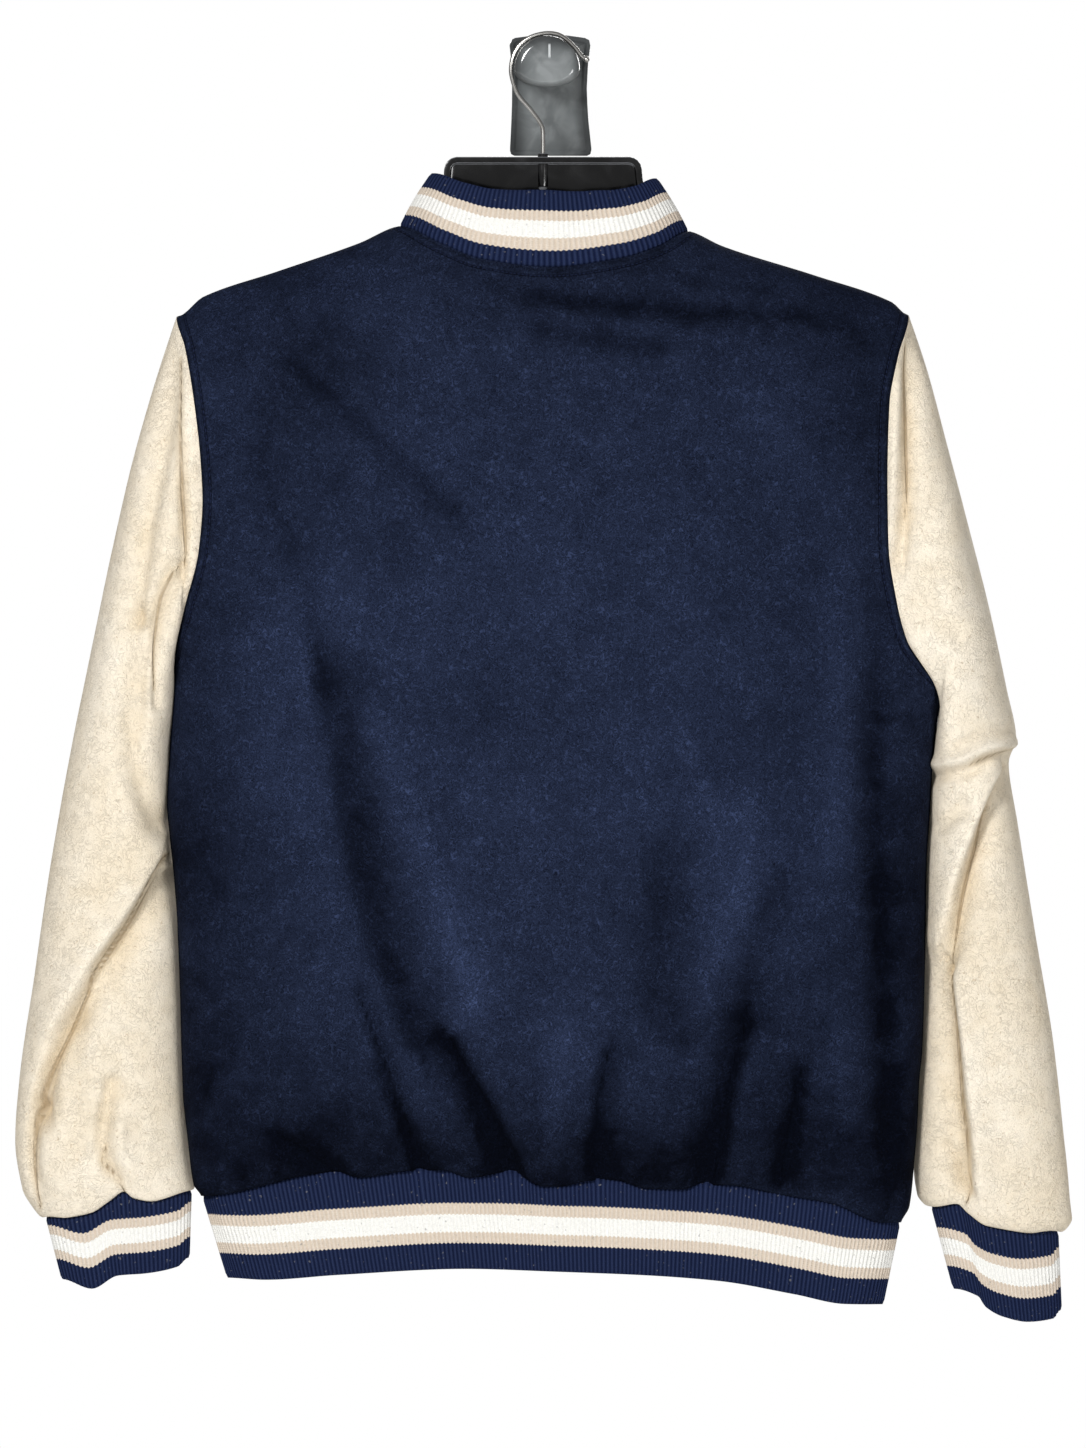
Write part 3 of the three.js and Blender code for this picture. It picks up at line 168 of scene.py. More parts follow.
# Folds, troughs where the depth is positive and ridges where it is negative. Each runs down its
# line, seen from behind, with its width to the left and to the right of the line. Where a height
# is given as its crease, a sharp crease runs along the line and ends at that height
Fold = namedtuple("Fold", "depth left right line crease", defaults=[None])
BACK_FOLDS = [
    # the long trough from the left armhole to the hem, and the ridge beside it
    Fold(5.2, 7, 12, [(-196, -254), (-177, -292), (-160, -349), (-149, -401)]),
    Fold(9, 8, 24, [
        (-149, -401), (-137, -449), (-130, -501), (-120, -549), (-106, -592), (-87, -644),
    ]),
    Fold(-6, 16, 14, [(-112, -435), (-90, -492), (-66, -558), (-46, -620)]),
    Fold(5.2, 4, 8, [(-125, -611), (-103, -673), (-82, -732)], -734),
    Fold(4.5, 4, 3, [(-112, -660), (-96, -700), (-84, -733)]),
    # gathers into the waistband
    Fold(6, 9, 6, [(-182, -706), (-158, -722), (-141, -733)], -734),
    Fold(10.5, 15, 5, [(-63, -644), (-39, -687), (-18, -735)], -736),
    Fold(9, 5, 13, [(44, -653), (37, -692), (35, -730)], -732),
    Fold(-4.5, 9, 8, [(18, -640), (10, -690), (8, -725)]),
    Fold(9, 16, 6, [(137, -634), (127, -677), (116, -735)], -736),
    Fold(7.5, 8, 8, [(175, -663), (168, -706), (161, -740)], -741),
    Fold(-4.5, 10, 10, [(203, -644), (208, -692)]),
    # the long trough down the right side
    Fold(9, 10, 9, [
        (229, -300), (229, -350), (226, -406), (225, -477), (227, -535), (232, -620), (236, -715),
    ]),
    Fold(-3.8, 12, 10, [(206, -300), (204, -400), (200, -520)]),
    # slanting pulls at the lower right
    Fold(6, 8, 16, [(161, -534), (147, -577), (139, -625)]),
    Fold(-4.5, 12, 12, [(142, -470), (137, -525), (123, -573), (108, -611)]),
    Fold(4.5, 14, 20, [(84, -520), (75, -587), (80, -634)]),
    Fold(-3, 8, 8, [(92, -434), (113, -477), (122, -515)]),
    # shoulders
    Fold(5.2, 8, 6, [(-172, -182), (-130, -220), (-91, -256), (-58, -287)]),
    Fold(3, 26, 20, [(-172, -160), (-125, -172)]),
    Fold(6, 6, 7, [(-10, -139), (37, -144), (94, -149), (151, -151), (199, -154)]),
    Fold(4.5, 6, 6, [(-1, -163), (42, -170), (80, -175)]),
    Fold(4.5, 4, 4, [(94, -127), (132, -132), (161, -135)]),
    Fold(-3, 5, 5, [(50, -158), (96, -163), (140, -166)]),
]
FRONT_FOLDS = [
    Fold(4, 17, 17, [(-215, -400), (-200, -500), (-196, -640)]),
    Fold(4, 9, 15, [(-120, -660), (-112, -735)]),
    Fold(3, 16, 16, [(-150, -190), (-105, -250)]),
    Fold(4, 17, 17, [(220, -420), (205, -520), (200, -660)]),
    Fold(4, 15, 9, [(118, -665), (126, -738)]),
    Fold(3, 16, 16, [(152, -190), (108, -245)]),
    Fold(4, 6, 12, [(-178, -690), (-170, -738)]),
    Fold(4, 7, 8, [(-60, -680), (-52, -738)]),
    Fold(3, 10, 6, [(62, -672), (70, -740)]),
    Fold(4, 12, 6, [(172, -688), (180, -752)]),
]
LEFT_SLEEVE_FOLDS = [
    # from the shoulder down beside the armhole to the body
    Fold(8.1, 9, 8, [(-250, -174), (-255, -214), (-261, -253), (-270, -298), (-276, -357)]),
    Fold(6.8, 10, 7, [(-276, -357), (-279, -406), (-278, -441), (-271, -471), (-260, -495)]),
    Fold(4.1, 4, 4, [(-244, -263), (-243, -308), (-240, -347)]),
    Fold(4.1, 4, 4, [
        (-242, -320), (-250, -322), (-259, -335), (-266, -357), (-270, -392), (-272, -430),
    ]),
    Fold(4.1, 4, 4, [(-244, -327), (-253, -342), (-259, -362), (-262, -392), (-261, -416)]),
    # the sharp slanting crease, doubled at its upper end
    Fold(5.4, 3, 3, [(-256, -520), (-280, -561), (-304, -594)]),
    Fold(-4.7, 12, 3, [(-262, -519), (-286, -560), (-314, -600), (-334, -636)]),
    Fold(9.5, 3, 14, [
        (-255, -530), (-281, -572), (-308, -608), (-328, -638), (-338, -663), (-344, -688),
    ]),
    Fold(6.8, 4, 5, [(-344, -688), (-347, -713), (-346, -738), (-340, -758)]),
    Fold(4.1, 4, 5, [(-313, -626), (-326, -641), (-336, -663), (-341, -688), (-338, -703)]),
    # gathers above the cuff
    Fold(3.4, 9, 9, [(-316, -634), (-318, -668), (-316, -718)]),
    Fold(6.8, 5, 6, [(-293, -673), (-297, -693), (-299, -713), (-294, -730), (-286, -744)]),
    Fold(-4.1, 6, 6, [(-288, -700), (-287, -722), (-280, -738)]),
]
RIGHT_SLEEVE_FOLDS = [
    Fold(9.5, 5, 8, [(248, -165), (248, -201), (247, -236), (245, -266), (243, -291), (238, -320)]),
    Fold(-4.1, 5, 4, [(240, -200), (238, -250), (236, -290)]),
    Fold(4.1, 9, 9, [(252, -346), (267, -357), (280, -367)]),
    # elbow
    Fold(4.1, 5, 5, [(321, -434), (300, -437), (282, -447)]),
    Fold(-5.4, 5, 5, [(320, -442), (297, -446), (280, -454), (267, -457)]),
    Fold(6.8, 5, 5, [(318, -450), (303, -454), (287, -461), (267, -464)]),
    Fold(4.1, 6, 6, [(284, -487), (270, -498)]),
    # the sharp slanting crease and the one that leaves it for the cuff
    Fold(9.5, 3, 11, [
        (316, -457), (307, -477), (297, -503), (287, -533), (280, -558), (272, -588),
    ]),
    Fold(-4.1, 10, 3, [(311, -458), (300, -480), (290, -505), (280, -535), (270, -575)]),
    Fold(9.5, 13, 4, [
        (272, -596), (276, -623), (280, -654), (283, -684), (287, -714), (288, -748),
    ]),
    Fold(-4.1, 4, 10, [(281, -600), (286, -650), (293, -710), (295, -742)]),
    Fold(4.1, 4, 4, [(274, -716), (281, -727), (285, -748)]),
]
PLAIN_SLEEVE_FOLDS = [
    Fold(4, 10, 16, [(-400, -470), (-250, -520)]),
    Fold(4, 10, 16, [(250, -500), (400, -450)]),
    Fold(4, 12, 6, [(-345, -600), (-290, -660), (-270, -720)]),
    Fold(4, 6, 12, [(345, -610), (300, -665), (285, -725)]),
]

# Sharp creases at the bottom of the deepest folds, seen from behind
BACK_CREASES = [
    fold.line[:-1] + [(fold.line[-1][0], fold.crease)] for fold in BACK_FOLDS if fold.crease
]
LEFT_SLEEVE_CREASES = [
    [(-254, -517), (-280, -561), (-304, -596), (-311, -614), (-326, -641), (-338, -664),
     (-345, -688), (-348, -713), (-347, -738), (-341, -758)],
    [(-258, -532), (-276, -560), (-290, -580), (-302, -597)],
    [(-296, -715), (-298, -727), (-289, -737), (-284, -747)],
    [(-244, -320), (-253, -330), (-260, -347), (-263, -377), (-262, -406)],
    [(-247, -180), (-246, -240), (-243, -290), (-241, -322)],
]
RIGHT_SLEEVE_CREASES = [
    [(319, -446), (304, -451), (290, -457)],
    [(316, -457), (307, -477), (297, -503), (287, -533), (280, -558), (273, -592)],
    [(271, -596), (276, -623), (280, -654), (283, -684), (287, -714), (288, -754)],
    [(247, -170), (248, -210), (247, -250), (244, -290)],
]

# Small calculations on arrays

FAR_AWAY = 99.0
CREASE_END = 0.2
CREASE_TAPER = 0.6
RIPPLE_BROAD = 0.35
RIPPLE_FINE = 0.15


def mix(a, b, t):
    return a + (b - a) * t


def ease(t):
    t = np.clip(t, 0, 1)
    return t * t * (3 - 2 * t)


def round_up(t):
    return np.sqrt(1 - (1 - np.clip(t, 0, 1)) ** 2)


def unit(vectors):
    return vectors / np.maximum(np.linalg.norm(vectors, axis=-1, keepdims=True), 1e-9)


def curve(rows, value=1):
    """A smooth curve through one column of a table, without overshoot between its rows."""
    at = np.array([row[0] for row in rows], float)
    to = np.array([row[value] for row in rows], float)
    steps = np.diff(to) / np.diff(at)
    before, after = steps[:-1], steps[1:]
    same = before * after > 0
    slopes = np.zeros(len(at))
    slopes[1:-1] = np.where(same, 2 * before * after / np.where(same, before + after, 1), 0)

    def sample(x):
        x = np.clip(x, at[0], at[-1])
        k = np.clip(np.searchsorted(at, x, side="right") - 1, 0, len(at) - 2)
        span = at[k + 1] - at[k]
        t = (x - at[k]) / span
        rise = to[k + 1] - to[k]
        leave = slopes[k] * span - rise
        arrive = rise - slopes[k + 1] * span
        return to[k] + rise * t + t * (1 - t) * mix(leave, arrive, t)

    return sample


def smooth_line(points, count=8):
    """Points along a smooth curve through a few points."""
    points = np.array(points, float)
    ends = [2 * points[:1] - points[1:2], points, 2 * points[-1:] - points[-2:-1]]
    padded = np.vstack(ends)
    t = np.linspace(0, 1, count, endpoint=False)[:, None]
    runs = []
    for a, b, c, d in zip(padded, padded[1:], padded[2:], padded[3:]):
        square, cube = 2 * a - 5 * b + 4 * c - d, 3 * b - a - 3 * c + d
        runs.append(0.5 * (2 * b + (c - a) * t + square * t**2 + cube * t**3))
    return np.vstack([*runs, points[-1:]])


def along_line(line, points):
    """Distance from each point to a line, its side and how far along the line it is."""
    start, run = line[:-1], np.diff(line, axis=0)
    reach = points[..., None, :] - start
    t = np.clip((reach * run).sum(-1) / (run**2).sum(-1), 0, 1)
    away = np.linalg.norm(reach - t[..., None] * run, axis=-1)
    k = away.argmin(-1)
    pick = np.take_along_axis
    best = pick(away, k[..., None], -1)[..., 0]
    share = (k + pick(t, k[..., None], -1)[..., 0]) / len(run)
    near = pick(reach, k[..., None, None], -2)[..., 0, :]
    side = np.sign(run[k, 0] * near[..., -1] - run[k, -1] * near[..., 0])
    return best, side, share


def fold_depth(folds, x, z):
    """How deep the folds press the cloth in at x and z."""
    points = np.stack([x, z], -1)
    total = np.zeros(x.shape)
    for fold in folds:
        away, side, _ = along_line(smooth_line(fold.line), points)
        width = np.where(side > 0, fold.right, fold.left)
        total += fold.depth * np.exp(-((away / width) ** 2))
    return total


def crease_distance(lines, x, z):
    """How far points lie from the nearest crease, growing faster towards its ends."""
    points = np.stack([x, z], -1)
    nearest = np.full(x.shape, FAR_AWAY)
    for line in lines:
        away, _, share = along_line(smooth_line(line), points)
        taper = np.maximum(np.sin(pi * share), CREASE_END) ** CREASE_TAPER
        nearest = np.minimum(nearest, away / taper)
    return nearest


def ripple(x, z, seed):
    """Slight unevenness of hung cloth, in millimetres, from bent sine waves."""
    upright = np.sin(x / 17.0 + 1.3 * np.sin(z / 41.0 + seed) + seed)
    level = np.sin(z / 29.0 + 1.1 * np.sin(x / 23.0 - seed) + 2 * seed)
    slanting = np.sin((x + z) / 11.0 + 1.7 * np.sin((x - z) / 37.0) + 3 * seed)
    return RIPPLE_BROAD * upright * level + RIPPLE_FINE * slanting


left_edge, right_edge = curve(LEFT_EDGE), curve(RIGHT_EDGE)
edge_at = {"left": left_edge, "right": right_edge}
shoulder_line = curve(SHOULDER_LINE)
neck_line = {"back": curve(BACK_NECK), "front": curve(FRONT_NECK)}
hem_line = {"back": curve(BACK_HEM), "front": curve(FRONT_HEM)}
fullness = {"back": curve(FULLNESS, 1), "front": curve(FULLNESS, 2)}

# Body panels

ROWS_BELOW = 150
ROWS_ABOVE = 80
ROW_GATHER = 1.2
SHOULDER_COLUMNS = 52
NECK_COLUMNS = 70
FRONT_SHOULDER_COLUMNS = 40
FRONT_NECK_COLUMNS = 26
LAP_COLUMNS = 7
COLUMN_GATHER = 0.45
BODY_RIPPLE = 0.7


def body_depth(side, x, z):
    """Depth of the body's outer face before its folds, and how fully a fold shows there."""
    left, right = left_edge(z), right_edge(z)
    across = np.clip((x - left) / (right - left), 0, 1)
    open_left = round_up((z - ARMPIT["left"]) / ARMHOLE_ROUND)
    open_right = round_up((z - ARMPIT["right"]) / ARMHOLE_ROUND)
    opening = mix(open_left, open_right, across)
    edge = opening * ARMHOLE_EDGE[side]
    full = fullness[side](z)
    arc = np.clip(1 - np.abs(2 * across - 1) ** SIDE_ROUND, 0, 1)
    profile = arc ** (1 / mix(SIDE_ROUND, FLAT_ROUND, opening))
    shoulder = round_up((shoulder_line(x) - z) / SHOULDER_ROUND)
    pull = 1 - BLOUSE_PULL * (1 - ease((z - hem_line[side](x)) / BLOUSE_RISE))
    return shoulder * (edge + (full - edge) * profile) * pull, profile * shoulder


def edge_points(side, step=1):
    """Points down a side: even below the armpit, closer at both ends of the armhole."""
    low = np.linspace(0, 1, ROWS_BELOW + 1) ** ROW_GATHER
    high = (1 - np.cos(pi * np.linspace(0, 1, ROWS_ABOVE + 1)[1:])) / 2
    heights = np.concatenate([
        mix(HEM_END[side][1], ARMPIT[side], low), mix(ARMPIT[side], SHOULDER_END[side], high)])
    return np.stack([edge_at[side](heights), heights], -1)[::step]


def blend_patch(bottom, top, first, last, rise):
    """Points of a four-sided patch in the seen plane, blended from its four edges."""
    u = ((bottom[:, 0] - bottom[0, 0]) / (bottom[-1, 0] - bottom[0, 0]))[None, :, None]
    v = rise[:, None, None]
    ends = mix(bottom[None], top[None], v)
    sides = mix(first[:, None], last[:, None], u)
    corners = mix(mix(bottom[0], bottom[-1], u), mix(top[0], top[-1], u), v)
    return ends + sides - corners


def rises(edge):
    return (edge[:, 1] - edge[0, 1]) / (edge[-1, 1] - edge[0, 1])


def points_on(line, x):
    return np.stack([x, line(x)], -1)


def back_patch():
    ends = [edge_at[side](SHOULDER_END[side]) for side in ("left", "right")]
    left = np.linspace(ends[0], NECK_POINT["left"], SHOULDER_COLUMNS + 1)[:-1]
    neck = np.linspace(NECK_POINT["left"], NECK_POINT["right"], NECK_COLUMNS + 1)
    right = np.linspace(NECK_POINT["right"], ends[1], SHOULDER_COLUMNS + 1)[1:]
    top = np.vstack([
        points_on(shoulder_line, left), points_on(neck_line["back"], neck),
        points_on(shoulder_line, right)])
    t = np.linspace(0, 1, len(top))
    gathered = mix(t, (1 - np.cos(pi * t)) / 2, COLUMN_GATHER)
    bottom = points_on(hem_line["back"], mix(HEM_END["left"][0], HEM_END["right"][0], gathered))
    first, last = edge_points("left"), edge_points("right")
    return blend_patch(bottom, top, first, last, rises(first))


def front_patch(side, step=2):
    """One front, from its side seam to its edge past the centre."""
    sign = 1 if side == "right" else -1
    lap = sign * np.concatenate([np.linspace(LAP_START, 0, LAP_COLUMNS), [-LAP / 2, -LAP]])
    shoulder = np.linspace(
        edge_at[side](SHOULDER_END[side]), NECK_POINT[side], FRONT_SHOULDER_COLUMNS + 1)[:-1]
    neck = np.linspace(NECK_POINT[side], sign * LAP_START, FRONT_NECK_COLUMNS + 1)[:-1]
    top = np.vstack([
        points_on(shoulder_line, shoulder), points_on(neck_line["front"], neck),
        points_on(neck_line["front"], lap)])
    wide = np.linspace(HEM_END[side][0], sign * LAP_START, len(shoulder) + len(neck) + 1)[:-1]
    bottom = points_on(hem_line["front"], np.concatenate([wide, lap]))
    rise = rises(edge_points("left", step))
    last = np.stack([np.full(len(rise), sign * -LAP), mix(bottom[-1, 1], top[-1, 1], rise)], -1)
    patch = blend_patch(bottom, top, edge_points(side, step), last, rise)
    return patch if side == "right" else patch[:, ::-1]


def drape(patch, side, folds, sink=None):
    """Lays a flat patch on the body's rounded form, with its folds."""
    x, z = patch[..., 0], patch[..., 1]
    depth, profile = body_depth(side, x, z)
    hollow = fold_depth(folds, x, z) * profile
    depth = depth - hollow + ripple(x, z, BODY_RIPPLE) * profile
    if sink:
        depth = depth - sink(x)
    facing = -1 if side == "back" else 1
    return np.stack([x, MIDDLE + facing * depth, z], -1), hollow


def lap_sink(x):
    """Sinks the under front where the other one laps over it."""
    return LAP_SINK * ease((LAP_START - x) / (LAP_START - LAP_FULL))


back_grid, back_hollow = drape(back_patch(), "back", BACK_FOLDS)
front_right_grid, right_hollow = drape(front_patch("right"), "front", FRONT_FOLDS, lap_sink)
front_left_grid, left_hollow = drape(front_patch("left"), "front", FRONT_FOLDS)


def armhole_loop(side):
    """The armhole from the armpit up the back, over the shoulder and down the front."""
    z = edge_points(side)[ROWS_BELOW:, 1]
    x = edge_at[side](z)
    back = np.stack([x, MIDDLE - body_depth("back", x, z)[0], z], -1)
    front = np.stack([x, MIDDLE + body_depth("front", x, z)[0], z], -1)
    loop = np.vstack([back, front[-2::-1]])
    loop[[0, ROWS_ABOVE, -1], 1] = MIDDLE
    return loop


def ring_loop(row, left_neck, back_neck, right_neck):
    """Loop round the neck or the hem, from the centre front round the left side and the back."""
    left = front_left_grid[row][2:left_neck]
    back = back_grid[row][back_neck[0]:back_neck[1] + 1]
    right = front_right_grid[row][right_neck + 1:-LAP_COLUMNS - 1]
    return np.vstack([left, back, right, left[:1]])


armholes = {side: armhole_loop(side) for side in ("left", "right")}
left_neck_column = front_left_grid.shape[1] - 1 - FRONT_SHOULDER_COLUMNS
back_neck_columns = (SHOULDER_COLUMNS, SHOULDER_COLUMNS + NECK_COLUMNS)
neck_loop = ring_loop(-1, left_neck_column, back_neck_columns, FRONT_SHOULDER_COLUMNS)
hem_loop = ring_loop(0, front_left_grid.shape[1] - 1, (0, back_grid.shape[1] - 1), 0)
NECK_MIDDLE = np.array([1, MIDDLE, -110.0])
NECK_LIFT = 0.7
UP = np.array([0, 0, 1.0])


def chord(chain, is_loop):
    """Direction of a chain of points at each point."""
    if is_loop:
        ring = chain[:-1]
        runs = np.roll(ring, -1, 0) - np.roll(ring, 1, 0)
        return unit(np.vstack([runs, runs[:1]]))
    return unit(np.gradient(chain, axis=0))


def outward(chain, axis, inside, is_loop):
    """Directions square to a chain and to an axis, pointing away from an inside point."""
    normals = unit(np.cross(chord(chain, is_loop), axis))
    spread = (normals * (chain - inside)).sum()
    return -normals if spread < 0 else normals


def neck_directions():
    out = outward(neck_loop, UP, NECK_MIDDLE, True)
    at_neck_point = np.abs(neck_loop[:, 1] - MIDDLE) < HALF_GAP
    out[at_neck_point, 1] = 0
    out = unit(unit(out) + UP * (NECK_LIFT * out[:, :1] ** 2))
    up = unit(np.cross(out, chord(neck_loop, True)))
    return out, np.where(up[:, 2:] < 0, -up, up)


# Meshes

BODY_MIDDLE = np.array([0, MIDDLE, -450.0])


def grid_normals(grid, is_tube=False):
    """Directions square to a grid of points."""
    if is_tube:
        ring = grid[:, :-1]
        along = np.roll(ring, -1, 1) - np.roll(ring, 1, 1)
        along = np.concatenate([along, along[:, :1]], 1)
    else:
        along = np.gradient(grid, axis=1)
    return unit(np.cross(along, np.gradient(grid, axis=0)))


def grid_faces(rows, columns, width, is_tube):
    """Quads of a grid of points, with width points in a row."""
    j, i = np.meshgrid(np.arange(rows - 1), np.arange(columns - 1), indexing="ij")
    after = (i + 1) % width if is_tube else i + 1
    corners = [j * width + i, j * width + after, (j + 1) * width + after, (j + 1) * width + i]
    return np.stack(corners, -1).reshape(-1, 4)


def rim_faces(chain, shift):
    """Quads between a chain of point numbers and the same chain on the other wall."""
    return np.stack([chain[:-1], chain[1:], chain[1:] + shift, chain[:-1] + shift], -1)


def wall_faces(rows, columns, width, is_tube):
    """Quads of a wall's outer and inner faces and of its rims, the outer face's quads first."""
    shift = rows * width
    face = grid_faces(rows, columns, width, is_tube)
    ring = np.append(np.arange(width), 0) if is_tube else np.arange(width)
    walls = [face, shift + face[:, ::-1], rim_faces(ring, shift)[:, ::-1]]
    walls.append(rim_faces(ring + (rows - 1) * width, shift))
    if not is_tube:
        side = np.arange(rows) * width
        walls += [rim_faces(side, shift), rim_faces(side + width - 1, shift)[:, ::-1]]
    return np.concatenate(walls)


def cloth_shell(name, outer, inner, layers, is_tube=False):
    """Makes a closed wall from an outer and an inner grid, with values at its points."""
    rows, columns = outer.shape[:2]
    width = columns - 1 if is_tube else columns
    points = np.concatenate([grid[:, :width].reshape(-1, 3) for grid in (outer, inner)])
    faces = wall_faces(rows, columns, width, is_tube)
    outer_count = (rows - 1) * (columns - 1)
    a, b, c = (points[faces[:outer_count, k]] for k in range(3))
    middle = points[:rows * width].mean(0) if is_tube else BODY_MIDDLE
    if (np.cross(b - a, c - a) * (a - middle)).sum() < 0:
        faces = faces[:, ::-1]
    mesh = bpy.data.meshes.new(name)
    mesh.from_pydata((points * MM).tolist(), [], faces.tolist())
    for layer, values in layers.items():
        both = np.tile(np.asarray(values, np.float32)[:, :width].ravel(), 2)
        mesh.attributes.new(layer, "FLOAT", "POINT").data.foreach_set("value", both)
    mesh.polygons.foreach_set("use_smooth", [True] * len(mesh.polygons))
    mesh.update()
    piece = bpy.data.objects.new(name, mesh)
    bpy.context.scene.collection.objects.link(piece)
    return piece


def finish_piece(piece, material, slot, *nodes):
    """Gives a new piece its finish and body, and hides the solids it stands for."""
    piece.data.materials.clear()
    piece.data.materials.append(material)
    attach(piece, "root")
    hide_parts(*nodes)
    return piece


# Shader building blocks

def srgb(red, green, blue):
    """A shader colour from the usual values up to 255."""
    share = np.array([red, green, blue]) / 255
    return (*np.where(share <= 0.04045, share / 12.92, ((share + 0.055) / 1.055) ** 2.4), 1.0)


def add_node(tree, kind, inputs=(), **settings):
    """Adds a shader node and feeds its inputs with values or other nodes' outputs."""
    node = tree.nodes.new(kind)
    for name, value in settings.items():
        setattr(node, name, value)
    for key, value in dict(inputs).items():
        if isinstance(value, bpy.types.NodeSocket):
            tree.links.new(value, node.inputs[key])
        else:
            node.inputs[key].default_value = value
    return node


def tree_of(*values):
    """The node tree of the first socket among some values."""
    return next(value.id_data for value in values if isinstance(value, bpy.types.NodeSocket))


def feed(value, socket):
    value.id_data.links.new(value, socket)


def calc(operation, *values, clamp=False):
    inputs = dict(enumerate(values))
    settings = {"operation": operation, "use_clamp": clamp}
    return add_node(tree_of(*values), "ShaderNodeMath", inputs, **settings).outputs[0]


def times(first, second):
    return calc("MULTIPLY", first, second)


def plus(first, second):
    return calc("ADD", first, second)


def minus(first, second):
    return calc("SUBTRACT", first, second)


def times_plus(first, second, third):
    return calc("MULTIPLY_ADD", first, second, third)


def away_from(value, middle):
    return calc("ABSOLUTE", minus(value, middle))


def blend(factor, first, second, how="MIX"):
    inputs = {0: factor, 6: first, 7: second}
    settings = {"data_type": "RGBA", "blend_type": how}
    return add_node(tree_of(factor, first, second), "ShaderNodeMix", inputs, **settings).outputs[2]


def tinted(color, tone):
    """A colour multiplied by a grey tone."""
    grey = add_node(tree_of(tone), "ShaderNodeCombineColor", {0: tone, 1: tone, 2: tone})
    return blend(1.0, color, grey.outputs[0], "MULTIPLY")


def ramp(value, low, high, to_low=0.0, to_high=1.0):
    """A soft step from one value to another between a low and a high input."""
    inputs = {"Value": value, "From Min": low, "From Max": high}
    inputs.update({"To Min": to_low, "To Max": to_high})
    settings = {"interpolation_type": "SMOOTHSTEP"}
    return add_node(tree_of(value), "ShaderNodeMapRange", inputs, **settings).outputs[0]


def noise(where, scale, detail=2.0, distortion=0.0):
    inputs = {"Vector": where, "Scale": scale, "Detail": detail, "Distortion": distortion}
    return add_node(tree_of(where), "ShaderNodeTexNoise", inputs).outputs["Fac"]


def layer(tree, name):
    """A value that a mesh carries at its points."""
    return add_node(tree, "ShaderNodeAttribute", attribute_name=name).outputs["Fac"]


def place(tree, kind="Object"):
    """The part's own coordinates, or its own normals."""
    return add_node(tree, "ShaderNodeTexCoord").outputs[kind]


def parts_of(vector):
    return add_node(tree_of(vector), "ShaderNodeSeparateXYZ", {0: vector}).outputs


def new_material(name, **settings):
    """A material with its shader's plain values set; returns it, its nodes and shader inputs."""
    material = bpy.data.materials.new(name)
    material.use_nodes = True
    tree = material.node_tree
    shader = tree.nodes["Principled BSDF"].inputs
    for socket, value in settings.items():
        shader[socket.replace("_", " ")].default_value = value
    return material, tree, shader


def raise_surface(height, shader):
    """Feeds a height in millimetres to the shader as a bump."""
    inputs = {"Height": height, "Distance": MM, "Strength": 1.0}
    feed(add_node(tree_of(height), "ShaderNodeBump", inputs).outputs["Normal"], shader["Normal"])


COLOR = "NodeSocketColor"
NUMBER = "NodeSocketFloat"
WHITE = (1, 1, 1, 1)
BLACK = (0, 0, 0, 1)


def new_group(name, inputs, outputs):
    """A node group that takes a place and named inputs; returns it, its inputs and outputs."""
    group = bpy.data.node_groups.new(name, "ShaderNodeTree")
    group.interface.new_socket("Where", in_out="INPUT", socket_type="NodeSocketVector")
    for socket, (kind, value) in inputs.items():
        made = group.interface.new_socket(socket, in_out="INPUT", socket_type=kind)
        made.default_value = value
    for socket, kind in outputs.items():
        group.interface.new_socket(socket, in_out="OUTPUT", socket_type=kind)
    given = group.nodes.new("NodeGroupInput").outputs
    return group, given, group.nodes.new("NodeGroupOutput").inputs


def add_group(tree, group, **values):
    """Places a node group on the part's own coordinates; returns its two outputs."""
    node = add_node(tree, "ShaderNodeGroup", node_tree=group)
    feed(place(tree), node.inputs["Where"])
    for name, value in values.items():
        socket = node.inputs[name.replace("_", " ")]
        if isinstance(value, bpy.types.NodeSocket):
            feed(value, socket)
        else:
            socket.default_value = value
    return node.outputs[0], node.outputs[1]


# Suede-like cloth

NAP_LEVEL = 0.42
CREASE_SHADE_SHARE = 0.6
CREASE_CUT = -1.3


def nap_level(given):
    """How light the nap is, from its mottling, its patches of nap with painted light and shade, and
    painted shade in its hollows.
    """
    broad = minus(noise(given["Where"], 9, 3), 0.5)
    blotch = minus(noise(given["Where"], 46, 6, 0.8), 0.5)
    mottle = plus(blotch, times(broad, 1.3))
    level = plus(times_plus(mottle, given["Mottle"], NAP_LEVEL), given["Patch"])
    # painted shade where the folds press troughs into the cloth
    return calc("SUBTRACT", level, given["Hollow"], clamp=True)


def nap_fibres(where):
    """Fibre squiggles where the nap is brushed, and the fine grain between them."""
    bend = away_from(noise(where, 230, 1, 1.4), 0.5)
    brushed = ramp(noise(where, 110, 2), 0.3, 0.6, 0.3, 1.0)
    line = times(ramp(bend, 0.0, 0.06, 1.0, 0.0), brushed)
    loose = minus(noise(where, 330, 2, 3.2), 0.5)
    fine = minus(noise(where, 1400, 1), 0.5)
    return times_plus(line, 0.55, minus(loose, 0.12)), fine


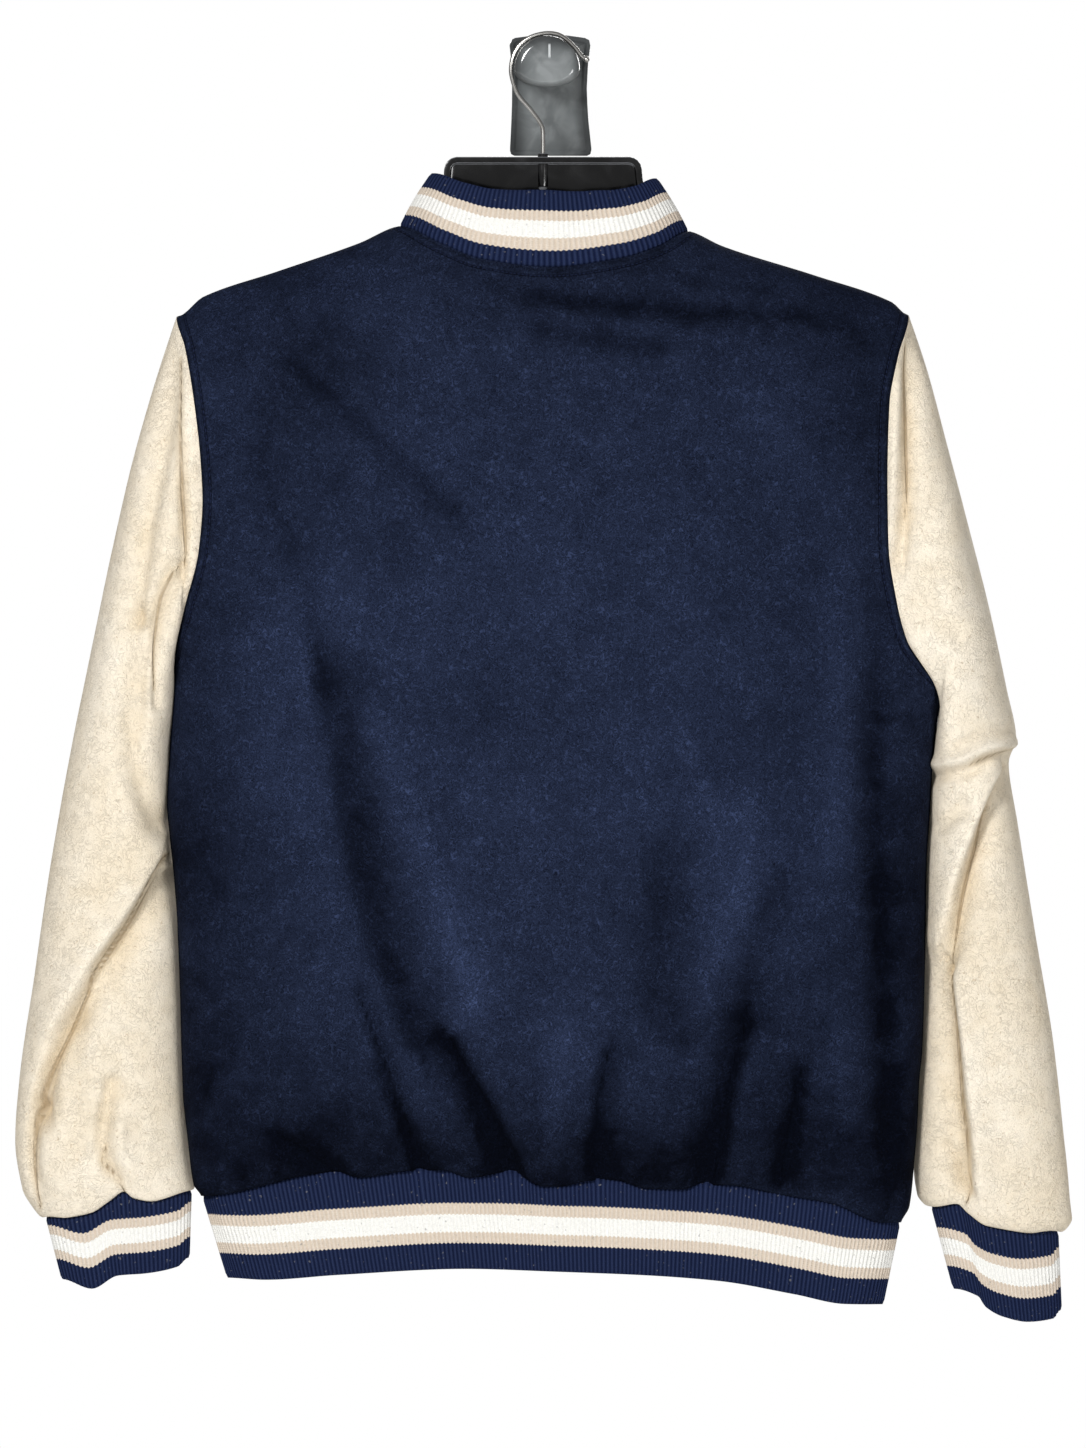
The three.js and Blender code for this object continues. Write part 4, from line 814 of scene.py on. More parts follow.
def nap_group():
    """Short-napped cloth: broad mottling, fibre squiggles, and painted shade in its troughs and
    along its creases, which are also cut in.
    """
    inputs = {
        "Light": (COLOR, WHITE), "Dark": (COLOR, BLACK), "Mottle": (NUMBER, 1.0),
        "Fibre": (NUMBER, 1.0), "Hollow": (NUMBER, 0.0), "Patch": (NUMBER, 0.0),
        "Crease": (NUMBER, FAR_AWAY), "Crease Width": (NUMBER, 2.0), "Crease Color": (COLOR, BLACK),
    }
    group, given, out = new_group("suede_nap", inputs, {"Color": COLOR, "Height": NUMBER})
    fibre, fine = nap_fibres(given["Where"])
    grain = times_plus(fibre, 1.2, times(fine, 0.7))
    shade = blend(nap_level(given), given["Dark"], given["Light"])
    shade = tinted(shade, times_plus(grain, given["Fibre"], 1.0))
    crease = ramp(given["Crease"], 0.2, given["Crease Width"], 1.0, 0.0)
    # painted shade along the creases
    feed(blend(times(crease, CREASE_SHADE_SHARE), shade, given["Crease Color"]), out["Color"])
    height = times_plus(fibre, 0.5, times(fine, 0.25))
    feed(times_plus(crease, CREASE_CUT, height), out["Height"])
    return group


NAP = nap_group()
STITCH_LENGTH = 3.2
STITCH_GROOVE_SHADE = srgb(6, 9, 20)
STITCH_THREAD = srgb(38, 46, 78)
PUFF_AWAY = 3.2


def navy_suede():
    """Navy nap with topstitching along the neckline and the armholes, painted shade in its stitch
    grooves, fold troughs and creases, and patches of brushed nap with painted light and shade.
    """
    material, tree, shader = new_material("navy_suede", Roughness=1.0, Specular_IOR_Level=0.04)
    # painted shade in the fold troughs and along the creases, and patches of brushed nap with
    # painted light and shade
    color, height = add_group(
        tree, NAP, Light=srgb(45, 55, 82), Dark=srgb(6, 9, 20), Mottle=0.5, Fibre=1.5,
        Hollow=times(layer(tree, "hollow"), 0.045), Patch=layer(tree, "patch"),
        Crease=layer(tree, "crease"), Crease_Width=3.0, Crease_Color=srgb(5, 8, 18))
    beside = layer(tree, "stitch")
    away = calc("ABSOLUTE", beside)
    groove = ramp(away, 0.3, 1.3, 1.0, 0.0)
    wave = calc("SINE", times(layer(tree, "run"), 2 * pi / STITCH_LENGTH))
    thread = times(ramp(away, 0.2, 0.6, 1.0, 0.0), ramp(wave, -0.5, 0.1))
    puff = ramp(calc("ABSOLUTE", plus(beside, PUFF_AWAY)), 0.0, 3.0, 1.0, 0.0)
    height = times_plus(thread, 0.6, times_plus(groove, -1.2, height))
    raise_surface(plus(puff, height), shader)
    # painted shade in the stitch groove
    color = blend(times(groove, 0.5), color, STITCH_GROOVE_SHADE)
    feed(blend(times(thread, 0.5), color, STITCH_THREAD), shader["Base Color"])
    return material


def cream_suede():
    """Cream nap with painted warm shade in its fold troughs and along its creases, and small
    specks.
    """
    material, tree, shader = new_material("cream_suede", Roughness=1.0, Specular_IOR_Level=0.1)
    crease = layer(tree, "crease")
    # painted warm shade in the fold troughs and along the creases
    color, height = add_group(
        tree, NAP, Light=srgb(248, 239, 223), Dark=srgb(222, 205, 176), Mottle=0.65, Fibre=-0.18,
        Hollow=times(layer(tree, "hollow"), 0.03), Patch=0.2, Crease=crease, Crease_Width=2.0,
        Crease_Color=srgb(136, 108, 74))
    speck = ramp(noise(place(tree), 520, 1), 0.68, 0.74)
    color = blend(times(speck, 0.45), color, srgb(186, 160, 124))
    # a wider band of painted warm shade beside the creases
    soft = ramp(crease, 1.4, 7.0, 0.35, 0.0)
    feed(blend(soft, color, srgb(198, 174, 136)), shader["Base Color"])
    raise_surface(height, shader)
    return material


# Rib knit

NAVY_KNIT = srgb(38, 48, 78)
TAN_KNIT = srgb(217, 205, 191)
WHITE_KNIT = srgb(239, 238, 234)
SPECK_GREY = srgb(120, 120, 122)
BAND_SPAN = 60
LOOP_HEIGHT = 1.5
SAW = 0.9


def yarn_group():
    """Knitted yarn: painted shade between the ribs, rows of loops, fuzz and a few stray grey
    specks.
    """
    inputs = {"Yarn": (COLOR, WHITE), "Crest": (NUMBER, 1.0), "From Edge": (NUMBER, 0.0)}
    group, given, out = new_group("rib_yarn", inputs, {"Color": COLOR, "Height": NUMBER})
    where, yarn = given["Where"], given["Yarn"]
    # painted shade: the yarn is darker between the ribs than on their crests
    furrow_shade = add_node(group, "ShaderNodeGamma", {"Color": yarn, "Gamma": 1.35}).outputs["Color"]
    grain = noise(where, 900, 2)
    color = blend(given["Crest"], furrow_shade, yarn)
    color = tinted(color, times_plus(minus(grain, 0.5), 0.35, 1.0))
    speck = ramp(noise(where, 420, 1), 0.71, 0.76, 0.0, 0.5)
    feed(blend(speck, color, SPECK_GREY), out["Color"])
    loops = calc("SINE", times(given["From Edge"], 2 * pi / LOOP_HEIGHT))
    feed(times_plus(loops, 0.05, times(grain, 0.3)), out["Height"])
    return group


YARN = yarn_group()


def striped_knit(name, stops):
    """Rib knit whose stripes change at these distances from its free edge, in millimetres."""
    material, tree, shader = new_material(name, Roughness=1.0, Specular_IOR_Level=0.05)
    crest, from_edge = layer(tree, "crest"), layer(tree, "from_edge")
    toothed = plus(from_edge, times_plus(crest, SAW, -SAW / 2))
    stripes = add_node(tree, "ShaderNodeValToRGB", {"Fac": calc("DIVIDE", toothed, BAND_SPAN)})
    stripes.color_ramp.interpolation = "CONSTANT"
    marks = stripes.color_ramp.elements
    marks[0].color = NAVY_KNIT
    marks[1].position = stops[0] / BAND_SPAN
    marks[1].color = TAN_KNIT
    for stop, color in zip(stops[1:], (WHITE_KNIT, TAN_KNIT, NAVY_KNIT)):
        marks.new(stop / BAND_SPAN).color = color
    color, height = add_group(
        tree, YARN, Yarn=stripes.outputs["Color"], Crest=crest, From_Edge=from_edge)
    feed(color, shader["Base Color"])
    raise_surface(height, shader)
    return material


# Plastic and metal

def wear_group():
    """Faint wear: a smear of a second colour and of a duller gloss."""
    inputs = {
        "Plain": (COLOR, WHITE), "Worn": (COLOR, WHITE), "Scale": (NUMBER, 60.0),
        "Gloss": (NUMBER, 0.1), "Duller": (NUMBER, 0.1),
    }
    group, given, out = new_group("faint_wear", inputs, {"Color": COLOR, "Roughness": NUMBER})
    smear = noise(given["Where"], given["Scale"], 3, 0.6)
    feed(blend(ramp(smear, 0.35, 0.75), given["Plain"], given["Worn"]), out["Color"])
    more = times(ramp(smear, 0.3, 0.75), given["Duller"])
    feed(plus(given["Gloss"], more), out["Roughness"])
    return group


WEAR = wear_group()
COAT = 0.7
EDGE_HIGHLIGHT = srgb(128, 130, 134)
EDGE_HIGHLIGHT_SLANT = (0.12, 0.32)

# The smoked plate, in metres: where its painted shade fades in and where the painted highlight in
# the saddle's slot lies
PLATE_SHADE_TONE = srgb(26, 28, 30)
SMOKE_SHARE = 0.75
PLATE_MIDDLE = 0.005
PLATE_SIDE_SHADE = (0.012, 0.026)
PLATE_TOP_SHADE = (0.024, 0.037)
SLOT_HIGHLIGHT = srgb(222, 226, 228)
SLOT_MIDDLE = 0.0044
SLOT_HALF = (0.0006, 0.001)
SLOT_LOWER = (0.023, 0.0255)
SLOT_UPPER = (0.032, 0.034)
UNDERSIDE = (-0.5, -0.1)


def plastic(name, color, worn, roughness):
    """Coated plastic with faint wear; returns its material, nodes, shader, tint and gloss."""
    material, tree, shader = new_material(name, Coat_Weight=COAT, Coat_Roughness=0.06)
    tint, gloss = add_group(
        tree, WEAR, Plain=color, Worn=worn, Scale=60, Gloss=roughness, Duller=0.12)
    return material, tree, shader, tint, gloss


def hanger_plastic():
    """Black plastic with a painted highlight on the rounded edges along its top and bottom."""
    material, tree, shader, tint, gloss = plastic(
        "hanger_plastic", srgb(3, 3, 4), srgb(9, 9, 11), 0.14)
    facing = parts_of(place(tree, "Normal"))
    slant = times(calc("ABSOLUTE", facing["Y"]), calc("ABSOLUTE", facing["Z"]))
    # painted highlight on edges that slant up or down towards the front
    feed(blend(ramp(slant, *EDGE_HIGHLIGHT_SLANT), tint, EDGE_HIGHLIGHT), shader["Base Color"])
    feed(gloss, shader["Roughness"])
    return material


def painted_side_and_top_shade(where):
    """How much painted shade darkens the plate: more towards its sides and its top."""
    sides = ramp(away_from(where["X"], PLATE_MIDDLE), *PLATE_SIDE_SHADE)
    return times(calc("MAXIMUM", sides, ramp(where["Z"], *PLATE_TOP_SHADE)), SMOKE_SHARE)


def slot_highlight(where):
    """How strong the painted highlight down the slot in the saddle's face is, 0 elsewhere."""
    beside = ramp(away_from(where["X"], SLOT_MIDDLE), *SLOT_HALF, 1.0, 0.0)
    above = ramp(where["Z"], *SLOT_LOWER)
    return times(times(beside, above), ramp(where["Z"], *SLOT_UPPER, SMOKE_SHARE, 0.0))


def plate_plastic():
    """Smoked plastic with painted shade towards its sides and top and a painted highlight in its
    slot, duller on its undersides.
    """
    material, tree, shader, tint, gloss = plastic(
        "plate_plastic", srgb(108, 112, 113), srgb(138, 142, 143), 0.1)
    where = parts_of(place(tree))
    # painted shade towards the plate's sides and top
    tint = blend(painted_side_and_top_shade(where), tint, PLATE_SHADE_TONE)
    # painted highlight down the slot
    feed(blend(slot_highlight(where), tint, SLOT_HIGHLIGHT), shader["Base Color"])
    under = ramp(parts_of(place(tree, "Normal"))["Z"], *UNDERSIDE, SMOKE_SHARE, 0.0)
    feed(calc("MAXIMUM", gloss, under), shader["Roughness"])
    feed(times(minus(1.0, under), COAT), shader["Coat Weight"])
    return material


def bright_metal(name, color, roughness):
    """Plated metal with fine uneven gloss."""
    material, tree, shader = new_material(name, Metallic=1.0)
    tint, gloss = add_group(
        tree, WEAR, Plain=color, Worn=srgb(166, 164, 160), Scale=25, Gloss=roughness, Duller=0.06)
    feed(tint, shader["Base Color"])
    feed(gloss, shader["Roughness"])
    return material


# Cloth pieces

# Hazy patches of brushed nap on the back, with painted light across its middle and painted shade
# along the hem, down the sides and below the collar: x, height, half width, half height, how much
# lighter
NAP_AND_SHADE_PATCHES = [
    (0, -400, 190, 260, 0.14), (-50, -560, 34, 80, 0.2), (125, -540, 30, 60, 0.14),
    (10, -330, 40, 60, 0.1), (-130, -360, 40, 60, 0.08), (20, -640, 26, 22, 0.14),
    (90, -160, 90, 20, -0.18), (225, -230, 22, 60, -0.15),
    (0, -735, 260, 36, -0.4), (-235, -560, 30, 240, -0.2), (248, -560, 32, 220, -0.26),
    (-150, -700, 90, 50, -0.12), (150, -690, 80, 50, -0.12), (0, -120, 200, 40, -0.1),
    (-170, -440, 26, 120, 0.06), (190, -440, 40, 100, 0.06),
]


def nap_light_and_shade(x, z):
    total = np.zeros(x.shape)
    for middle_x, middle_z, wide, tall, strength in NAP_AND_SHADE_PATCHES:
        away = ((x - middle_x) / wide) ** 2 + ((z - middle_z) / tall) ** 2
        total += strength * np.exp(-away)
    return total


ROLL = 2.2
ROLL_HEIGHT = 3.5
ROLL_FADE = 15


def seam_roll(grid):
    """How far the cloth rolls out over the band sewn to its first row of points."""
    steps = np.linalg.norm(np.diff(grid, axis=0), axis=-1)
    away = np.concatenate([np.zeros((1, grid.shape[1])), np.cumsum(steps, 0)])
    return ROLL * round_up(away / ROLL_HEIGHT) * np.exp(-((away / ROLL_FADE) ** 2))


def stitch_layers(grid, seams):
    """How far each point lies from the nearest stitch line, and how far along that line."""
    stitch = np.full(grid.shape[:2], FAR_AWAY)
    run = np.zeros(grid.shape[:2])
    for chain, inset in seams:
        away, _, share = along_line(chain, grid)
        length = np.linalg.norm(np.diff(chain, axis=0), axis=1).sum()
        nearer = np.abs(away - inset) < np.abs(stitch)
        stitch = np.where(nearer, away - inset, stitch)
        run = np.where(nearer, share * length, run)
    return {"stitch": stitch, "run": run}


NECK_INSET = 7
ARMHOLE_INSET = 6
CHAIN_STEP = 3
FLAT_DEPTH = 9


def add_panel(name, grid, hollow, side, seams):
    """A body panel's cloth, its edges drawn back from the seams."""
    outer = grid.copy()
    outer[0, :, 2] += HALF_GAP
    facing = -1 if side == "back" else 1
    full = np.clip(np.abs(grid[..., 1] - MIDDLE) / FLAT_DEPTH, 0, 1)
    outer[..., 1] += facing * seam_roll(grid) * full
    normals = grid_normals(grid)
    if (normals[..., 1] * facing).sum() < 0:
        normals = -normals
    inner = outer - normals * CLOTH
    x, z = grid[..., 0], grid[..., 2]
    creases = crease_distance(BACK_CREASES if side == "back" else [], x, z)
    # the patch layer carries brushed nap with painted light and shade
    layers = {"hollow": hollow, "patch": nap_light_and_shade(x, z), "crease": creases}
    layers.update(stitch_layers(grid, seams))
    shell = cloth_shell(f"{name}_cloth", outer, inner, layers)
    piece = finish_piece(shell, NAVY, "navy_suede", name)


NAVY = navy_suede()
CREAM = cream_suede()
half_loop = ROWS_ABOVE + 1
back_seams = [(armholes[side][:half_loop:CHAIN_STEP], ARMHOLE_INSET) for side in ("left", "right")]
back_seams.append((back_grid[-1, SHOULDER_COLUMNS:-SHOULDER_COLUMNS:2], NECK_INSET))
add_panel("back", back_grid, back_hollow, "back", back_seams)
front_panels = [
    ("left", front_left_grid, left_hollow, (0.27, 0.68), 0.16),
    ("right", front_right_grid, right_hollow, (0.28, 0.68), 0.165),
]
for side, grid, hollow, flat, area in front_panels:
    front_seams = [(armholes[side][ROWS_ABOVE::CHAIN_STEP], ARMHOLE_INSET)]
    add_panel(f"front_{side}", grid, hollow, "front", front_seams)

# Sleeves

FINE_FROM = 0.9
SLEEVE_SHARES = np.append(np.linspace(0, FINE_FROM, 196), np.linspace(FINE_FROM, 1, 41)[1:])
ARMHOLE_CLEAR = 0.06
CUFF_CLEAR = 0.04
SLEEVE_RIPPLE = 2.1


def sleeve_section(rows, s, i):
    """Points of a sleeve's plain form at shares of its length and steps round it."""
    out_x, out_z, in_x, in_z, depth_y, back, front = (curve(rows, k)(s) for k in range(1, 8))
    angle = pi * i / ROWS_ABOVE
    across = -np.sign(np.cos(angle)) * np.abs(np.cos(angle)) ** (2 / SLEEVE_ROUND)
    bulge = np.abs(np.sin(angle)) ** (2 / SLEEVE_ROUND)
    reach = np.where(i < ROWS_ABOVE, -back, front)
    t = (across + 1) / 2
    return np.stack([mix(in_x, out_x, t), depth_y + reach * bulge, mix(in_z, out_z, t)], -1)


def outward_tube(grid):
    normals = grid_normals(grid, True)
    centres = grid[:, 1:].mean(1, keepdims=True)
    return -normals if (normals * (grid - centres)).sum() < 0 else normals


def sleeve_grid(side, rows, folds, creases, cuff_wave):
    """A sleeve's outer face from its armhole to its cuff, with its folds and creases."""
    loop = armholes[side]
    outside = -1 if side == "left" else 1
    start = loop + np.array([outside * HALF_GAP, 0, 0])
    s = SLEEVE_SHARES[:, None]
    i = np.arange(len(loop))[None]
    fade = (1 - ease(s / ARMHOLE_BLEND))[..., None]
    plain = sleeve_section(rows, s, i) + (start - sleeve_section(rows, 0 * s[:1], i)) * fade
    on_back = np.where(i < ROWS_ABOVE, np.sin(pi * i / ROWS_ABOVE), 0)
    near_cuff = ease((s - FINE_FROM) / (1 - FINE_FROM))
    plain[..., 2] += curve(cuff_wave)(plain[..., 0]) * on_back * near_cuff
    x, z = plain[..., 0], plain[..., 2]
    facing = np.abs(np.sin(pi * i / ROWS_ABOVE)) ** 0.5
    clear = ease(s / ARMHOLE_CLEAR) * ease((1 - s) / CUFF_CLEAR) * facing
    own = np.where(i < ROWS_ABOVE, fold_depth(folds, x, z), fold_depth(PLAIN_SLEEVE_FOLDS, x, z))
    hollow = own * clear
    lift = ripple(x, z, SLEEVE_RIPPLE) * clear - hollow + seam_roll(plain[::-1])[::-1]
    sharp = np.where(i < ROWS_ABOVE, crease_distance(creases, x, z), FAR_AWAY)
    return plain + outward_tube(plain) * lift[..., None], {"hollow": hollow, "crease": sharp}


def cuff_axis(rows):
    """Downward direction square to the cuff seam, seen from behind."""
    _, out_x, out_z, in_x, in_z, *_ = rows[-1]
    axis = unit(np.array([-(out_z - in_z), 0, out_x - in_x], float))
    return -axis if axis[2] > 0 else axis


BAND_ROWS = 18
SAMPLES_PER_RIB = 6
SEAM_GAP = 0.3
EDGE_ROUND = 0.8
EDGE_FROM = 0.94
INNER_RIB = 0.3
TUCK_IN = 1.4
TUCK_UP = 1.5
CUFF_THIN = 0.95


def pick_along(chain, places):
    return np.stack([np.interp(places, np.arange(len(chain)), chain[:, k]) for k in range(3)], -1)


def rib_places(base, ribs):
    """Evenly spaced places along a chain, and how high a rib stands at each of them."""
    lengths = np.append(0, np.cumsum(np.linalg.norm(np.diff(base, axis=0), axis=1)))
    count = ribs * SAMPLES_PER_RIB + 1
    places = np.interp(np.linspace(0, lengths[-1], count), lengths, np.arange(len(base)))
    return places, 0.5 - 0.5 * np.cos(2 * pi * np.arange(count) / SAMPLES_PER_RIB)


def rib_band(name, base, end, out, end_out, ribs, bulge, is_tube, height=None):
    """A knit band from its seam to its free edge, ribbed on both faces.

    Its stripes are measured from the free edge, or as shares of a height if one is given.
    """
    places, ridge = rib_places(base, ribs)
    foot, tip = pick_along(base, places), pick_along(end, places)
    share = np.linspace(0, 1, BAND_ROWS)[:, None]
    crest = np.tile(ridge, (BAND_ROWS, 1))
    out = unit(mix(pick_along(out, places), pick_along(end_out, places), share[..., None]))
    rounding = EDGE_ROUND * np.clip((share - EDGE_FROM) / (1 - EDGE_FROM), 0, 1) ** 2
    tucked = np.where(share == 0, TUCK_IN, 0)
    swell = bulge * np.sin(pi * share) - tucked
    lift = RIB_RISE * crest - RIB_TUCK - rounding + swell
    sink = INNER_RIB * crest - RIB_CLOTH + rounding + swell
    spine = mix(foot, tip, share[..., None])
    spine = spine - unit(tip - foot) * (tucked * TUCK_UP / TUCK_IN)[..., None]
    outer = spine + out * lift[..., None]
    inner = spine + out * sink[..., None]
    heights = np.full(len(places), height) if height else np.linalg.norm(tip - foot, axis=-1)
    from_edge = (1 - share) * heights
    if is_tube:
        for grid in (outer, inner):
            grid[:, -1] = grid[:, 0]
    return cloth_shell(name, outer, inner, {"crest": crest, "from_edge": from_edge}, is_tube)


def cuff_end(base, outline):
    """The cuff's free edge: its seam loop drawn in to the edge's outline."""
    centre_y = base[1:, 1].mean()
    t = (base[:, 0] - base[:, 0].min()) / np.ptp(base[:, 0])
    x = mix(outline[0][0], outline[-1][0], t)
    return np.stack([x, centre_y + (base[:, 1] - centre_y) * CUFF_THIN, curve(outline)(x)], -1)


def add_sleeve_and_cuff(side, rows, folds, creases, wave, outline, stops):
    grid, layers = sleeve_grid(side, rows, folds, creases, wave)
    axis = cuff_axis(rows)
    normals = outward_tube(grid)
    normals[0] = outward(grid[0], np.array([1.0, 0, 0]), grid[0].mean(0), True)
    normals[-1] = outward(grid[-1], axis, grid[-1].mean(0), True)
    shell = cloth_shell(f"sleeve_{side}_cloth", grid, grid - normals * CLOTH, layers, True)
    finish_piece(shell, CREAM, "cream_suede", f"sleeve_{side}")
    base = grid[-1] + axis * SEAM_GAP
    end = cuff_end(base, outline)
    out = outward(base, axis, base.mean(0), True)
    end_out = outward(end, axis, end.mean(0), True)
    cuff = rib_band(f"cuff_{side}_knit", base, end, out, end_out, CUFF_RIBS, 0, True)
    stripes = striped_knit(f"striped_knit_cuff_{side}", stops)
    finish_piece(cuff, stripes, "striped_knit", f"cuff_{side}")


add_sleeve_and_cuff(
    "left", LEFT_SLEEVE, LEFT_SLEEVE_FOLDS, LEFT_SLEEVE_CREASES, LEFT_CUFF_WAVE, LEFT_CUFF_END,
    (14.5, 21, 31.5, 38))
add_sleeve_and_cuff(
    "right", RIGHT_SLEEVE, RIGHT_SLEEVE_FOLDS, RIGHT_SLEEVE_CREASES, RIGHT_CUFF_WAVE,
    RIGHT_CUFF_END, (16, 24, 36, 43))

# Waistband and collar

END_GAP = 0.25
BAND_DEPTH = 0.9
SEAM_SPAN = 10
EDGE_SPAN = 24


def calmed(values, span):
    """A closed run of values averaged over a short span."""
    padded = np.pad(values, span // 2, mode="wrap")
    return np.convolve(padded, np.full(span, 1 / span), "valid")[:len(values)]


def open_ends(loop):
    loop[0, 0] -= END_GAP
    loop[-1, 0] += END_GAP
    return loop


def add_hem_band():
    base = open_ends(hem_loop - UP * HALF_GAP)
    base[:, 1] = calmed(base[:, 1], SEAM_SPAN)
    low, high = HEM_END["left"][0], HEM_END["right"][0]
    x = mix(BAND_END[0][0], BAND_END[-1][0], (hem_loop[:, 0] - low) / (high - low))
    y = MIDDLE + (calmed(hem_loop[:, 1], EDGE_SPAN) - MIDDLE) * BAND_DEPTH
    end = open_ends(np.stack([x, y, curve(BAND_END)(x)], -1))
    out = outward(hem_loop, UP, hem_loop.mean(0), True)
    end_out = outward(end, UP, end.mean(0), False)
    band = rib_band("hem_rib_knit", base, end, out, end_out, HEM_RIBS, 0, False)
    stripes = striped_knit("striped_knit_hem", (17.7, 25.2, 37.5, 45.2))
    finish_piece(band, stripes, "striped_knit", "hem_rib")


COLLAR_HEIGHT = 53


def add_collar():
    out, up = neck_directions()
    base = open_ends(neck_loop + up * HALF_GAP)
    aside, ahead = neck_loop[:, 0] - NECK_MIDDLE[0], neck_loop[:, 1] - MIDDLE
    turn = np.degrees(np.arctan2(np.abs(aside), -ahead))
    x = NECK_MIDDLE[0] + aside * COLLAR_NARROW[0]
    y = MIDDLE + ahead * COLLAR_NARROW[1]
    end = open_ends(np.stack([x, y, neck_loop[:, 2] + curve(COLLAR_RISE)(turn)], -1))
    end_out = outward(end, UP, end.mean(0), False)
    band = rib_band(
        "collar_rib_knit", base, end, out, end_out, COLLAR_RIBS, 1, False, COLLAR_HEIGHT)
    stripes = striped_knit("striped_knit_collar", (14.1, 21.3, 33.2, 41.9))
    finish_piece(band, stripes, "striped_knit", "collar_rib")


add_hem_band()
add_collar()

# Hard pieces, modelled by hand from primitives

def open_shape(add_primitive, name, **settings):
    """Adds a primitive, puts its place and size in its mesh and opens it for editing."""
    bpy.ops.object.select_all(action="DESELECT")
    add_primitive(**settings)
    piece = bpy.context.object
    piece.name = name
    bpy.ops.object.transform_apply(location=True, rotation=True, scale=True)
    bpy.ops.object.mode_set(mode="EDIT")
    bpy.ops.mesh.select_mode(type="FACE")
    return piece


def open_box(name, low, high):
    """Adds a box between two corners, in millimetres, and opens it for editing."""
    low, high = np.array(low, float), np.array(high, float)
    return open_shape(
        bpy.ops.mesh.primitive_cube_add, name, size=1, location=(low + high) / 2 * MM,
        scale=(high - low) * MM)


def open_cylinder(name, sides, radius, length, middle, **settings):
    """Adds a cylinder, its sizes in millimetres, and opens it for editing."""
    return open_shape(
        bpy.ops.mesh.primitive_cylinder_add, name, vertices=sides, radius=radius * MM,
        depth=length * MM, location=np.array(middle) * MM, **settings)


SIDEWAYS, DEPTHWISE, UPRIGHT = 0, 1, 2
SQUARE_ON = 0.9


def pick_faces(piece, along, sign, beyond=-np.inf, square=SQUARE_ON):
    """Selects the faces that look along an axis and lie beyond a place on it, in millimetres."""
    mesh = bmesh.from_edit_mesh(piece.data)
    mesh.normal_update()
    for face in mesh.faces:
        face.select_set(False)
    for face in mesh.faces:
        at = face.calc_center_median()[along] * sign / MM
        if face.normal[along] * sign > square and at > beyond:
            face.select_set(True)
    mesh.select_flush_mode()
    bmesh.update_edit_mesh(piece.data)


def extrude_by(move):
    """Extrudes the selected faces by a move in millimetres."""
    bpy.ops.mesh.extrude_region_move(TRANSFORM_OT_translate={"value": move * MM})


def extrude_through(stations, along):
    """Extrudes the selected end face through stations: place, low edge and high edge."""
    across = 2 - along
    for (at, low, high), (next_at, next_low, next_high) in zip(stations, stations[1:]):
        move, scale, centre = np.zeros(3), np.ones(3), np.zeros(3)
        move[along] = next_at - at
        move[across] = (next_low + next_high - low - high) / 2
        scale[across] = (next_high - next_low) / (high - low)
        centre[across] = (next_low + next_high) / 2
        extrude_by(move)
        bpy.ops.transform.resize(value=scale, center_override=centre * MM)


def inset(width, rise=0.0):
    """Insets the selected faces and raises them, in millimetres."""
    bpy.ops.mesh.inset(thickness=width * MM, depth=rise * MM)


def round_rim(radius, steps):
    bpy.ops.mesh.bevel(offset=radius * MM, segments=steps, affect="EDGES")


def sink_panel(piece, facing, rim, wall, depth):
    """Sinks a panel into the front or back faces, inside a rim."""
    pick_faces(piece, DEPTHWISE, facing)
    inset(rim)
    inset(wall, -depth)


WELD_DISTANCE = 0.01
BEVEL_STEPS = 3
BEVEL_FROM = radians(35)
SMOOTH_UNTIL = radians(30)


def close_shape(piece, bevel=0.0):
    """Closes a shape after editing, rounds its sharp edges and shades it smooth."""
    bpy.ops.mesh.select_all(action="SELECT")
    bpy.ops.mesh.remove_doubles(threshold=WELD_DISTANCE * MM)
    bpy.ops.mesh.normals_make_consistent(inside=False)
    bpy.ops.object.mode_set(mode="OBJECT")
    if bevel:
        rounding = piece.modifiers.new("rounding", "BEVEL")
        rounding.width = bevel * MM
        rounding.segments = BEVEL_STEPS
        rounding.angle_limit = BEVEL_FROM
        bpy.ops.object.modifier_apply(modifier=rounding.name)
    bpy.ops.object.shade_smooth_by_angle(angle=SMOOTH_UNTIL)


def join_shapes(*pieces):
    """Joins shapes into the first one."""
    bpy.ops.object.select_all(action="DESELECT")
    for piece in pieces:
        piece.select_set(True)
    bpy.context.view_layer.objects.active = pieces[0]
    bpy.ops.object.join()
    return pieces[0]


HANGER_TOP = -43.5
HANGER_HALF = 6
HANGER_RIM = 4.2
HANGER_WALL = 0.6
HANGER_SINK = 3.5
HANGER_BEVEL = 1.3
HANGER_NECK = [
    (20, -113, HANGER_TOP), (59, -117, HANGER_TOP), (62, -117.6, -44.3), (64.3, -118.3, -45.8),
    (66.3, -119, -48.5), (67.2, -119.3, -52), (67.7, -119.5, -58), (70, -120.2, -72),
    (78, -122.7, -89), (90, -126.4, -104),
]
ARM_LOWER = [(92, -127), (125, -137), (160, -147), (196, -158), (206, -161)]
ARM_STATIONS = (112, 128, 144, 160, 176, 192, 206)
ARM_DROP = 6
ARM_TIP = [(3.5, -16, -3), (6, -13, -6.5)]
BOSS_RADIUS = 4.2
BOSS_HEIGHT = 23.4
BOSS_SINK = 0.2
BOSS_ROUND = 4
COLLAR_RADIUS = 3.6
COLLAR_HALF = 2.2
COLLAR_STEP = (0.9, 0.5)


